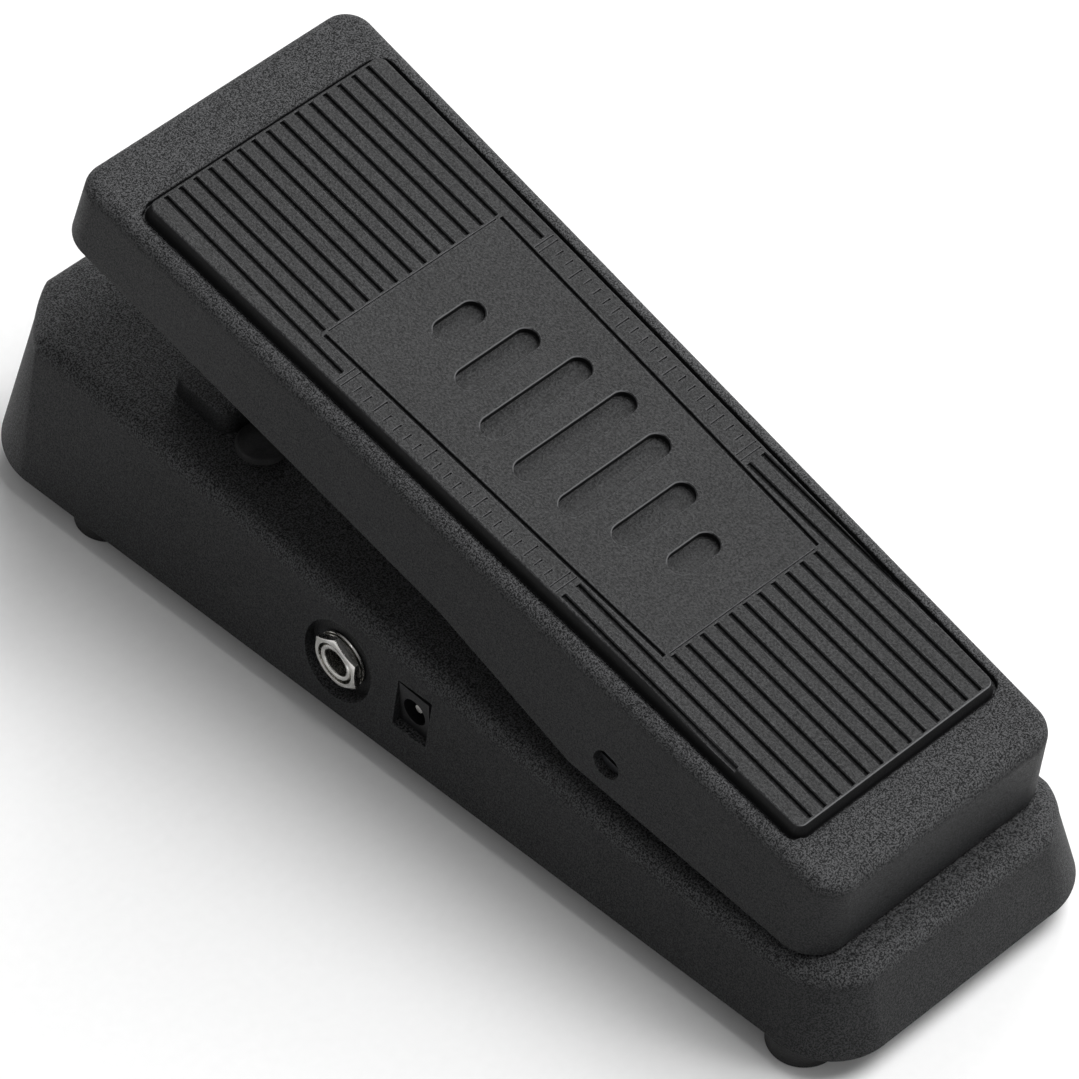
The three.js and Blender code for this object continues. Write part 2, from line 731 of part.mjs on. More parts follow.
function setScrew(side) {
  const start = AXLE.end + GAP;
  const end = start + SET_SCREW.length;
  const body = barX([0, 0], mirrorSpan(side, [start, end]), AXLE.radius);
  const halfSlot = SET_SCREW.slotWidth / 2;
  const slotX = mirrorSpan(side, [end - SET_SCREW.slotDepth, FAR]);
  return cut(body, block(slotX, [-FAR, FAR], [-halfSlot, halfSlot]));
}

function addTreadle() {
  const add = (name, finish, shape) => addPiece(name, finish, shape, treadleGroup);
  add("treadle", "casting", treadleCasting());
  add("treadle_mat", "mat_rubber", treadleMat());
  add("pivot_axle", "steel", barX([0, 0], [-AXLE.end, AXLE.end], AXLE.radius));
  add("rack_clevis", "steel", clevis());
  add("clevis_pin", "steel", clevisPin());
  const headZ = CLEVIS.padBottom - CLEVIS.sheet - 2 * GAP - SCREW.headHeight;
  for (const [end, centre] of Object.entries(clevisScrewCentres)) {
    add(`clevis_screw_${end}`, "steel", screw(centre, headZ, CLEVIS.screwLength));
  }
  for (const [place, side] of Object.entries(SIDES)) {
    add(`pivot_set_screw_${place}`, "plate_steel", setScrew(side));
  }
  const [padY] = toTreadle(SWITCH.y, SWITCH.plungerTop, toeDownTilt);
  const { half, thickness } = SWITCH.pad;
  const padTop = TREADLE.underside - GAP;
  add("switch_pad", "black_rubber", blockAt([0, padY], [half, half], [padTop - thickness, padTop]));
}

// ---- Pivot bearings -----------------------------------------------------------------------------

function addPivotBearings() {
  const centre = [PIVOT.y, PIVOT.z];
  for (const [place, side] of Object.entries(SIDES)) {
    const flangeStart = LUG.outer + GAP;
    const flangeEnd = flangeStart + BUSH.flange;
    const sleeve = barX(centre, mirrorSpan(side, [LUG.inner, flangeEnd]), LUG.boreRadius - GAP);
    const flange = barX(centre, mirrorSpan(side, [flangeStart, flangeEnd]), BUSH.flangeRadius);
    const bore = barX(centre, mirrorSpan(side, [0, FAR]), AXLE.boreRadius);
    addPiece(`pivot_bush_${place}`, "nylon", cut(join(sleeve, flange), bore));
    const washerStart = flangeEnd + GAP;
    const washerX = mirrorSpan(side, [washerStart, washerStart + BUSH.washer]);
    const washer = barX(centre, washerX, BUSH.flangeRadius);
    addPiece(`friction_washer_${place}`, "steel", cut(washer, bore));
  }
}

// ---- Rack, pinion and potentiometer -------------------------------------------------------------

const rackY = PIVOT.y + RACK.arm * Math.cos(TREADLE_TRAVEL / 2);
const rackEyeZ = PIVOT.z + RACK.arm * Math.sin(TREADLE_TRAVEL / 2);
const pitchRadius = (GEAR.module * GEAR.teeth) / 2;
const gearPitch = Math.PI * GEAR.module;
const pinionCentre = [rackY + RACK.pitchLine + pitchRadius + GEAR.mesh, GEAR.z];

// Half of a tooth's width at a distance outside (+) or inside (-) the pitch line.
const flankSlope = Math.tan(GEAR.pressureAngle);
const halfTooth = (beyond) => (gearPitch / 2 - GEAR.backlash) / 2 - beyond * flankSlope;

function rack() {
  const tip = rackY + RACK.pitchLine + GEAR.addendum;
  const root = rackY + RACK.pitchLine - GEAR.dedendum;
  const back = rackY - RACK.back;
  const points = [[back, RACK.bottom], [root, RACK.bottom]];
  const atRoot = halfTooth(-GEAR.dedendum);
  const atTip = halfTooth(GEAR.addendum);
  const toothCount = Math.floor(RACK.toothed / gearPitch);
  const firstTooth = Math.ceil((RACK.bottom + atRoot - GEAR.z) / gearPitch + 0.5);
  for (let i = firstTooth; i < toothCount; i += 1) {
    const z = GEAR.z + (i - 0.5) * gearPitch; // a gap between teeth lies level with the pinion's centre
    points.push([root, z - atRoot], [tip, z - atTip], [tip, z + atTip], [root, z + atRoot]);
  }
  points.push([root, rackEyeZ], [back, rackEyeZ]);
  const span = [-RACK.halfWidth, RACK.halfWidth];
  const eye = barX([rackY, rackEyeZ], span, RACK.eyeRadius);
  const bore = barX([rackY, rackEyeZ], [-FAR, FAR], RACK.eyeBore, SMALL_ROUND);
  return cut(join(plateX(points, span), eye), bore);
}

function pinion() {
  const points = [];
  const [y, z] = pinionCentre;
  for (let i = 0; i < GEAR.teeth; i += 1) {
    const angle = Math.PI + (i * 2 * Math.PI) / GEAR.teeth; // the first tooth points at the rack
    const corner = (radius, across) => [
      y + radius * Math.cos(angle) - across * Math.sin(angle),
      z + radius * Math.sin(angle) + across * Math.cos(angle),
    ];
    const root = halfTooth(-GEAR.dedendum);
    const tip = halfTooth(GEAR.addendum);
    points.push(corner(pitchRadius - GEAR.dedendum, -root), corner(pitchRadius + GEAR.addendum, -tip));
    points.push(corner(pitchRadius + GEAR.addendum, tip), corner(pitchRadius - GEAR.dedendum, root));
  }
  const bore = barX(pinionCentre, [-FAR, FAR], POT.shaftRadius + GAP);
  return cut(plateX(points, [-RACK.halfWidth, RACK.halfWidth]), bore);
}

function potentiometer() {
  const [y, z] = pinionCentre;
  const { face, radius, terminal } = POT;
  const can = barX(pinionCentre, [face - POT.length, face], radius);
  const bush = barX(pinionCentre, [face - OVER, POT.bushEnd], POT.bushRadius);
  const terminalZ = [z - radius - terminal.length, z - radius / 2];
  const terminals = terminal.y.map((offset) => {
    const middle = y + offset;
    return block(terminal.x, [middle - terminal.half, middle + terminal.half], terminalZ);
  });
  return cut(join(can, bush, ...terminals), barX(pinionCentre, [face + GAP, 0], POT.shaftRadius + GAP));
}

function potBracket() {
  const { sheet, heelY, toeY, bottom, top } = BRACKET;
  const x0 = POT.face + GAP;
  const x1 = x0 + sheet;
  const wall = block([x0, x1], [heelY, toeY], [bottom, top]);
  const armZ = [BRACKET.armBottom, BRACKET.armTop];
  const arm = block([x0, BRACKET.armEnd], [heelY, heelY + sheet], armZ);
  const flange = block([x0 - BRACKET.flangeWidth, x1], [BRACKET.flangeHeelY, toeY], [top - sheet, top]);
  const bushHole = barX(pinionCentre, [x0 - OVER, x1 + OVER], POT.bushRadius + GAP);
  return cut(join(wall, arm, flange), bushHole, drill(BRACKET.screw, [0, FAR]));
}

// The nylon shoe that keeps the rack against the pinion: a back and two cheeks.
function rackGuide() {
  const back = rackY - RACK.back - GUIDE.play;
  const start = BRACKET.heelY + BRACKET.sheet + GAP;
  const inner = RACK.halfWidth + GUIDE.sidePlay;
  const outer = inner + GUIDE.cheek;
  const body = block([-outer, outer], [start, back + GUIDE.lip], [BRACKET.armBottom, BRACKET.armTop]);
  return cut(body, block([-inner, inner], [back, FAR], [0, FAR]));
}

function addSweepDrive() {
  addPiece("rack", "nylon", rack());
  addPiece("pinion", "nylon", pinion());
  addPiece("pot_shaft", "steel", barX(pinionCentre, [POT.face + 2 * GAP, POT.shaftEnd], POT.shaftRadius));
  addPiece("potentiometer", "plate_steel", potentiometer());
  const nutStart = POT.face + 2 * GAP + BRACKET.sheet;
  const nutBore = barX(pinionCentre, [-FAR, 0], POT.bushRadius + GAP);
  const nut = hexX(pinionCentre, [nutStart, nutStart + POT.nut], POT.nutAcross);
  addPiece("pot_nut", "nickel", cut(nut, nutBore));
  addPiece("pot_bracket", "steel", potBracket());
  const headZ = BRACKET.top - BRACKET.sheet - GAP - SCREW.headHeight;
  addPiece("bracket_screw", "steel", screw(BRACKET.screw, headZ, BRACKET.screwLength));
  addPiece("rack_guide", "nylon", rackGuide());
}

// ---- Footswitch ---------------------------------------------------------------------------------

function addFootswitch() {
  const centre = [0, SWITCH.y];
  const { plateau, terminal, threadTop, plungerRadius, plungerTop } = SWITCH;
  const bodyTop = plateau.hollowTop - GAP;
  const bodyBottom = bodyTop - SWITCH.bodyHeight;
  const body = blockAt(centre, SWITCH.bodyHalf, [bodyBottom, bodyTop]);
  const thread = barZ(centre, [bodyTop - OVER, threadTop], SWITCH.threadRadius);
  const terminalZ = [bodyBottom - terminal.length, bodyBottom + OVER];
  const terminals = terminal.x.flatMap((x) =>
    terminal.y.map((y) => blockAt([x, SWITCH.y + y], terminal.half, terminalZ)),
  );
  const boreFloor = SWITCH.plungerFoot - SWITCH.travel - GAP;
  const bore = barZ(centre, [boreFloor, FAR], plungerRadius + GAP);
  addPiece("footswitch_body", "black_plastic", cut(join(body, thread, ...terminals), bore));
  const nutStart = plateau.top + GAP;
  const nutBore = barZ(centre, [0, FAR], SWITCH.threadRadius + GAP);
  const nut = hexZ(centre, [nutStart, nutStart + SWITCH.nut], SWITCH.nutAcross);
  addPiece("footswitch_nut", "nickel", cut(nut, nutBore));
  const crownStart = plungerTop - SWITCH.crown;
  const stem = barZ(centre, [SWITCH.plungerFoot, crownStart], plungerRadius);
  const crown = barZ(centre, [crownStart, plungerTop], plungerRadius, plungerRadius - SWITCH.crown);
  addPiece("footswitch_plunger", "nickel", join(stem, crown));
}

// ---- Sockets ------------------------------------------------------------------------------------

function addJack(name, side) {
  const centre = [JACK.y, JACK.z];
  const { half, back, wall } = JACK.body;
  const bodyFace = JACK.padFace - GAP;
  const bodyX = mirrorSpan(side, [back, bodyFace]);
  const body = block(bodyX, [JACK.y - half, JACK.y + half], [JACK.z - half, JACK.z + half]);
  const thread = barX(centre, mirrorSpan(side, [bodyFace - OVER, JACK.threadEnd]), JACK.threadRadius);
  const bore = barX(centre, mirrorSpan(side, [back + wall, FAR]), JACK.boreRadius);
  addPiece(`${name}_jack`, "black_plastic", cut(join(body, thread), bore));
  const clearance = barX(centre, mirrorSpan(side, [0, FAR]), JACK.threadRadius + JACK.nutPlay);
  const washerStart = JACK.recessFloor + GAP;
  const washerEnd = washerStart + JACK.washer;
  const washer = barX(centre, mirrorSpan(side, [washerStart, washerEnd]), JACK.washerRadius);
  addPiece(`${name}_jack_washer`, "nickel", cut(washer, clearance));
  const nutStart = washerEnd + GAP;
  const nut = hexX(centre, mirrorSpan(side, [nutStart, nutStart + JACK.nut]), JACK.nutAcross);
  addPiece(`${name}_jack_nut`, "nickel", cut(nut, clearance));
}

function addSockets() {
  addJack("output", -1);
  addJack("input", 1);
  const centre = [DC.y, DC.z];
  const { halfWidth, halfHeight } = DC;
  const bodyY = [DC.y - halfWidth, DC.y + halfWidth];
  const body = block([-DC.face, -DC.back], bodyY, [DC.z - halfHeight, DC.z + halfHeight]);
  addPiece("dc_jack", "black_plastic", cut(body, barX(centre, [-FAR, -DC.boreFloor], DC.boreRadius)));
  const pin = barX(centre, [-DC.pinTip, -DC.boreFloor - GAP], DC.pinRadius, SMALL_ROUND);
  addPiece("dc_jack_pin", "nickel", pin);
}

// ---- Circuit board and battery ------------------------------------------------------------------

function addCircuit() {
  const { half, heelY, toeY, bottom, thickness } = BOARD;
  const top = bottom + thickness;
  const sheet = block([-half, half], [heelY, toeY], [bottom, top]);
  const holes = boardPostCentres.map((centre) => drill(centre, [0, FAR]));
  addPiece("circuit_board", "board_green", cut(sheet, ...holes));
  const headZ = bottom - GAP - SCREW.headHeight;
  Object.keys(SIDES).forEach((place, i) => {
    addPiece(`board_screw_${place}`, "steel", screw(boardPostCentres[i], headZ, BOARD.screwLength));
  });
  addComponents(top + GAP);
}

// What is soldered to the board: an inductor, capacitors, transistors and a resistor. The seat is
// just above the board.
function addComponents(seat) {
  const can = (centre, { height, radius }) =>
    barZ(centre, [seat, seat + height], radius, radius, MIDDLE_ROUND);
  addPiece("inductor", "component_red", can(INDUCTOR.centre, INDUCTOR));
  FILM_CAPACITOR.x.forEach((x, i) => {
    const { halfWidth, y, height } = FILM_CAPACITOR;
    const shape = block([x - halfWidth, x + halfWidth], y, [seat, seat + height]);
    addPiece(`film_capacitor_${i + 1}`, "component_red", shape);
  });
  ELECTROLYTIC.x.forEach((x, i) => {
    const shape = can([x, ELECTROLYTIC.y], ELECTROLYTIC);
    addPiece(`electrolytic_capacitor_${i + 1}`, "component_blue", shape);
  });
  TRANSISTOR.x.forEach((x, i) => {
    const { y, flat } = TRANSISTOR;
    const offCut = block([-FAR, FAR], [y + flat, y + FAR], [0, FAR]);
    addPiece(`transistor_${i + 1}`, "black_plastic", cut(can([x, y], TRANSISTOR), offCut));
  });
  const { y, half, radius } = RESISTOR;
  addPiece("resistor", "nylon", barX([y, seat + radius], [-half, half], radius, SMALL_ROUND));
}

function addBattery() {
  const { left, width, heelY, length, bottom, height } = BATTERY;
  const { offset, height: terminalHeight, radii } = BATTERY_TERMINAL;
  const middle = [left + width / 2, bottom + height / 2];
  const end = heelY + length;
  const cell = block([left, left + width], [heelY, end], [bottom, bottom + height]);
  const terminals = radii.map((radius, i) => {
    const stud = new THREE.CylinderGeometry(radius, radius, terminalHeight + OVER, MIDDLE_ROUND);
    const x = middle[0] + (2 * i - 1) * offset;
    return stud.translate(x, end + (terminalHeight - OVER) / 2, middle[1]);
  });
  addPiece("battery", "battery_case", join(cell, ...terminals));
  const { inset, halfHeight, thickness } = BATTERY_SNAP;
  const snapStart = end + terminalHeight + GAP;
  const snapX = [left + inset, left + width - inset];
  const snapZ = [middle[1] - halfHeight, middle[1] + halfHeight];
  const snap = block(snapX, [snapStart, snapStart + thickness], snapZ);
  addPiece("battery_snap", "black_plastic", snap);
}

addBase();
addTreadle();
addPivotBearings();
addSweepDrive();
addFootswitch();
addSockets();
addCircuit();
addBattery();

export default pedal;
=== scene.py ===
import json
import math

import bmesh
import bpy
from mathutils import Matrix, Vector


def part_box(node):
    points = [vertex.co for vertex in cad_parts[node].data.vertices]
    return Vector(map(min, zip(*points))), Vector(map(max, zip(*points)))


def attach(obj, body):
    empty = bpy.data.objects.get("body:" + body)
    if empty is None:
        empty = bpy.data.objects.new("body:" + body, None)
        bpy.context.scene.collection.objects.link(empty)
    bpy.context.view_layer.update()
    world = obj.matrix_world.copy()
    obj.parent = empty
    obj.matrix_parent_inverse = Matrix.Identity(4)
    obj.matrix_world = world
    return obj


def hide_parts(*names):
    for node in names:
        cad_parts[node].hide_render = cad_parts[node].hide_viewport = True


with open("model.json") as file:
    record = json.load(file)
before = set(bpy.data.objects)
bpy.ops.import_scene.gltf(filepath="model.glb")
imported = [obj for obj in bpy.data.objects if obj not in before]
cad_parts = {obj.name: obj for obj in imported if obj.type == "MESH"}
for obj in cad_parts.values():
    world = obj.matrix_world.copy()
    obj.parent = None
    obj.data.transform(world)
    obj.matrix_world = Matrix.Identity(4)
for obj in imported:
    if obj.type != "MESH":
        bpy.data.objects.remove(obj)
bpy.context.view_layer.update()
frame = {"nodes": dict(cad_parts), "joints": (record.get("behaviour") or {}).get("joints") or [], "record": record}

# ---- Driving sizes ------------------------------------------------------------------------------
# Shapes are drawn in millimetres, in the frame's axes: +Y points to the toe end and +Z is up.

BASE_LOW, BASE_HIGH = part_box("base_housing")
MM = (BASE_HIGH.y - BASE_LOW.y) / 252  # the base is 252 mm long


def joint(name):
    return next(j for j in frame["joints"] if j["name"] == name)


PIVOT = Vector(joint("treadle_rock")["pos_m"]) / MM
TILT = math.radians(12.25)  # of the treadle, heel-down
TOE_DOWN_TILT = TILT - math.radians(joint("treadle_rock")["range_deg"][1])
TREADLE_FRAME = Matrix.Translation(PIVOT) @ Matrix.Rotation(TILT, 4, "X")

GAP = 0.3  # between pieces that touch
OVER = 1  # how far a tool runs past a face
FAR = 60  # longer than any hole
CAD_EDGE = 0.12  # the bevel on the pieces that keep their CAD mesh

BASE = {
    "plan": {
        "heel_y": BASE_LOW.y / MM,
        "toe_y": BASE_HIGH.y / MM,
        "heel_half": 38.6,
        "toe_half": 51,
        "heel_radius": 14.8,
        "toe_radius": 20.2,
    },
    "bottom": BASE_LOW.z / MM,
    "heel_top": 27.2,
    "knee_y": -75,
    "ramp": 0.0947,
    "side_draft": 0.175,
    "end_draft": 0.194,
    "edge": 5,
    "wall": 3,
    "rebate": 1.6,
    "rebate_depth": 1.8,
    "lip": 0.6,  # the small round along the bottom edge
}
PLATEAU = {"half": 31, "heel_y": 60.5, "toe_y": 79, "radius": 4, "draft": 1, "top": 45.8}
SWITCH = {"y": 70, "pocket": (8.9, 6.7), "hollow_top": 43, "hole": 6.3}
RACK_SLOT = {"half": 8, "y": (-2, 16.5)}
LUG = {"inner": 19.5, "outer": 24.5, "radius": 8, "flare": 2, "sink": 1.5, "bore": 5}

TREADLE = {
    "plan": {
        "heel_y": -58.3,
        "toe_y": 163.4,
        "heel_half": 33.7,
        "toe_half": 39.8,
        "heel_radius": 8.5,
        "toe_radius": 8,
    },
    "draft": 0.085,
    "top": 20.4,
    "underside": 16.2,
    "edge": 3.4,
    "wall": 3,
    "open": -20,  # the hollow under the treadle is open below this height
    "lip": 0.5,  # the small round along the skirt's edge
    "skirt": [(-58.3, -2), (8, -8.9), (47.8, -2.3), (163.4, 2.1)],
    "axle_hole": 3.3,
    "axle_mouth": 3.6,
    "boss": (27.5, 7.5),  # where it starts beside the lug, and its radius
    "clevis_pad": {"y": 64.58, "half": (9, 13), "bottom": 14.4, "screw_offset": 9, "hole_top": 17.7},
    "post_radius": {"toe": 4, "heel": 4.5},
}
MAT = {
    "plan": {
        "heel_y": -41.5,
        "toe_y": 146.2,
        "heel_half": 27.2,
        "toe_half": 31.9,
        "heel_radius": 2,
        "toe_radius": 2,
    },
    "top": 22.64,
    "seat": 18.9,
    "side_gap": 2.1,
    "end_gap": 1.4,
    "edge": 0.4,
    "flare": 1,  # how much wider its bottom is than its top
    "mouth": 0.4,  # the small round of the recess that it lies in
}
PANEL = {
    "heel_y": 3.6,
    "toe_y": 100.5,
    "heel_half": 20.7,
    "toe_half": 23.65,
    "heel_radius": 1.6,
    "toe_radius": 1.6,
}
GROOVE = {
    "pitch": 3.93,
    "width": 1.0,
    "depth": 1.0,
    "mouth": 0.22,  # the chamfer along both of its edges
    "rim": 0.6,
    "panel_rim": 1.0,
    "outermost": 7,  # grooves on either side of the middle one
    "beside_toe": 91.7,  # where the outermost grooves end beside the panel
    "beside_heel": 26,  # and where the outer two pairs end, from the heel
    "edge_y": -24,  # the outermost grooves leave over the mat's edge here
}
MARKS = {  # the round-ended bars across the panel, whose half lengths swell towards the middle
    "count": 7,
    "pitch": 11.6,
    "width": 5.6,
    "depth": 1.7,
    "shortest": 4.5,
    "swell": 11.5,
    "sharpness": 1.5,
    "lead": 0.7,
    "spread": 0.4,
}
STRIP = {"heel_y": 29, "toe_y": 89.5}  # the plain strips beside the panel
THIN_LINE = {"width": 0.3, "depth": 0.45, "mouth": 0.08, "from_panel": 0.45}
PANEL_END_HALF = {"heel": 20.0, "toe": 23.0}  # of the thin lines across the panel's ends
STRIP_LINES = (  # y, and the inner and outer x of each thin line across a strip
    (27.4, 22.6, 28.3),
    (STRIP["heel_y"], 22.8, 28.4),
    (STRIP["toe_y"], 24.4, 29.8),
    (90.9, 24.6, 29.8),
)
TICK = {"step": 2.9, "count": 20, "start": 2.7, "from_edge": 1.6, "long": 3.8, "short": 2.2}
TICK_GROOVE = {"width": 0.35, "depth": 0.5, "mouth": 0.08}

JACK = {
    "y": 13.4,
    "z": 19.6,
    "recess": 9.45,
    "floor": 41,
    "hole": 5.1,
    "pad_face": 37.5,
    "pad_y": (-16, 25),
    "pad_top": 30,
    "thread": 4.75,
    "thread_end": 43.9,
    "bore": 3.2,
    "bore_floor": 20,
    "body_half": 8,
    "body_back": 17,
    "nut": {"across": 11.8, "thickness": 1.9, "bore": 5.0, "above_seat": 0.8},
    "washer": {"inner": 5.0, "outer": 6.5, "thickness": 0.5, "edge": 0.1, "rise": 0.12},
}
DC = {"y": -7.8, "z": 20.1, "half_y": 4.75, "half_z": 5.95}
SCREW_HOLE = 1.8
FOOT_PLACES = ("toe_left", "toe_right", "heel_left", "heel_right")
FOOT_BOSS = {"radius": 4, "from": 7.8, "hole_top": 18}  # the bosses hang from the base's roof
BOARD_POST = {"at": ((-26, 60), (26, 60)), "radius": 3.2, "from": 12.9, "hole_top": 22}
BRACKET_BOSS = {"at": ((-14.5, 29.5),), "radius": 4, "from": 30.9, "hole_top": 33.35}
FOOT = {"tip": 7.8, "radius": 8, "edge": 0.4, "recess": (3.4, 3, SCREW_HOLE)}
BUMPER = {"radius": 6, "top_radius": 5.7, "edge": 0.6}

# ---- Solids -------------------------------------------------------------------------------------


def mix(a, b, share):
    return a + (b - a) * share


def half_outline(plan, stations=(), steps=20):
    """The right half of a tapered plan with round corners: (x, y, outward x, outward y) for each point."""

    def side_x(y):
        share = (y - plan["heel_y"]) / (plan["toe_y"] - plan["heel_y"])
        return mix(plan["heel_half"], plan["toe_half"], share)

    def corner(centre_y, radius, start, end):
        points = []
        for i in range(steps + 1):
            angle = mix(start, end, i / steps)
            nx, ny = math.cos(angle), math.sin(angle)
            points.append((side_x(centre_y) - radius + radius * nx, centre_y + radius * ny, nx, ny))
        return points

    quarter = math.pi / 2
    heel = corner(plan["heel_y"] + plan["heel_radius"], plan["heel_radius"], -quarter, 0)
    toe = corner(plan["toe_y"] - plan["toe_radius"], plan["toe_radius"], 0, quarter)
    return heel + [(side_x(y), y, 1, 0) for y in stations] + toe


def loft(half, rings):
    """A closed solid through rings of (inset of a point, height at y), mirrored in the middle plane."""
    bm = bmesh.new()
    loops = []
    for inset, height in rings:
        right = []
        for x, y, nx, ny in half:
            by = inset(x, y, nx, ny)
            at_y = y - ny * by
            right.append(Vector((x - nx * by, at_y, height(at_y))))
        left = [Vector((-p.x, p.y, p.z)) for p in reversed(right)]
        loops.append([bm.verts.new(p) for p in right + left])
    count = 2 * len(half)
    for low, high in zip(loops, loops[1:]):
        for i in range(count):
            j = (i + 1) % count
            bm.faces.new((low[i], low[j], high[j], high[i]))
    for i in range(len(half) - 1):
        a, b, c, d = i, i + 1, count - 2 - i, count - 1 - i
        bm.faces.new([loops[0][k] for k in (a, d, c, b)])
        bm.faces.new([loops[-1][k] for k in (a, b, c, d)])
    bmesh.ops.recalc_face_normals(bm, faces=bm.faces)
    return bm


def rounded_top(wall_inset, top, radius, steps=8):
    """The rings of a rounded top edge."""
    rings = []
    for i in range(1, steps + 1):
        angle = (math.pi / 2) * i / steps
        inward = radius * (1 - math.cos(angle))
        drop = radius * (1 - math.sin(angle))
        rings.append(
            (
                lambda x, y, nx, ny, inward=inward: wall_inset(x, y, nx, ny) + inward,
                lambda y, drop=drop: top(y) - drop,
            )
        )
    return rings


def block(x, y, z):
    bm = bmesh.new()
    bmesh.ops.create_cube(bm, size=1)
    size = Vector((x[1] - x[0], y[1] - y[0], z[1] - z[0]))
    middle = Vector((sum(x), sum(y), sum(z))) / 2
    bm.transform(Matrix.Translation(middle) @ Matrix.Diagonal(size).to_4x4())
    return bm


def turned(profile, segments=64):
    """A solid turned about Z from (radius, height) points that run from the axis back to it."""
    bm = bmesh.new()
    rings = []
    for radius, height in profile:
        if radius == 0:
            rings.append([bm.verts.new((0, 0, height))])
            continue
        angles = [2 * math.pi * i / segments for i in range(segments)]
        rings.append([bm.verts.new((radius * math.cos(a), radius * math.sin(a), height)) for a in angles])
    for low, high in zip(rings, rings[1:]):
        for i in range(segments):
            j = (i + 1) % segments
            corners = [low[i % len(low)], low[j % len(low)], high[j % len(high)], high[i % len(high)]]
            bm.faces.new(list(dict.fromkeys(corners)))
    bmesh.ops.recalc_face_normals(bm, faces=bm.faces)
    return bm


def ring(profile, segments=64):
    """A ring turned about Z from a closed (radius, height) profile that stays off the axis."""
    bm = bmesh.new()
    loops = []
    for i in range(segments):
        a = 2 * math.pi * i / segments
        loops.append([bm.verts.new((r * math.cos(a), r * math.sin(a), z)) for r, z in profile])
    count = len(profile)
    for i in range(segments):
        here, there = loops[i], loops[(i + 1) % segments]
        for k in range(count):
            n = (k + 1) % count
            bm.faces.new((here[k], there[k], there[n], here[n]))
    bmesh.ops.recalc_face_normals(bm, faces=bm.faces)
    return bm


def bar(radius, span, segments=64):
    return turned([(0, span[0]), (radius, span[0]), (radius, span[1]), (0, span[1])], segments)


def along_x(bm, y, z, side=1):
    """Turns a solid about Z into one that points to the left (-1) or the right (1), at y and z."""
    bm.transform(Matrix.Translation((0, y, z)) @ Matrix.Rotation(side * math.pi / 2, 4, "Y"))
    return bm


def placed(bm, x, y, z=0):
    bm.transform(Matrix.Translation((x, y, z)))
    return bm


def loose(bm):
    """A temporary object, in millimetres."""
    mesh = bpy.data.meshes.new("tool")
    bm.to_mesh(mesh)
    bm.free()
    made = bpy.data.objects.new("tool", mesh)
    bpy.context.scene.collection.objects.link(made)
    return made


def taken(shape):
    """A temporary object's solid, to be used as a tool."""
    bm = bmesh.new()
    bm.from_mesh(shape.data)
    bpy.data.objects.remove(shape)
    return bm


def combine(shape, tools, operation="DIFFERENCE"):
    """Joins each tool's solid to the shape, or cuts it away."""
    for bm in tools:
        tool = loose(bm)
        modifier = shape.modifiers.new("tool", "BOOLEAN")
        modifier.operation = operation
        modifier.solver = "EXACT"
        modifier.object = tool
        bake_modifiers(shape)
        bpy.data.objects.remove(tool)
    return shape


def bake_modifiers(shape):
    evaluated = shape.evaluated_get(bpy.context.evaluated_depsgraph_get())
    mesh = bpy.data.meshes.new_from_object(evaluated)
    shape.modifiers.clear()
    shape.data = mesh


def bevel(shape, width, segments=2, angle=40):
    modifier = shape.modifiers.new("bevel", "BEVEL")
    modifier.width = width
    modifier.segments = segments
    modifier.limit_method = "ANGLE"
    modifier.angle_limit = math.radians(angle)
    bake_modifiers(shape)
    return shape


def finish_piece(shape, name, node, body, material, place=None, smooth_angle=32):
    """Turns a temporary object into a named piece that rides on a body and stands for CAD nodes."""
    if place is not None:
        shape.data.transform(place)
    shape.data.transform(Matrix.Scale(MM, 4))
    shape.name = name
    shape.data.name = name
    shape.data.materials.clear()
    shape.data.materials.append(material)
    smooth(shape, smooth_angle)
    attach(shape, body)
    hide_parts(node)
    return shape


def smooth(shape, angle):
    """Smooth shading up to an angle, weighted so that flat faces stay flat."""
    for polygon in shape.data.polygons:
        polygon.use_smooth = True
    shape.data.set_sharp_from_angle(angle=math.radians(angle))
    modifier = shape.modifiers.new("weighted_normals", "WEIGHTED_NORMAL")
    modifier.keep_sharp = True
    modifier.weight = 100


# ---- Materials ----------------------------------------------------------------------------------


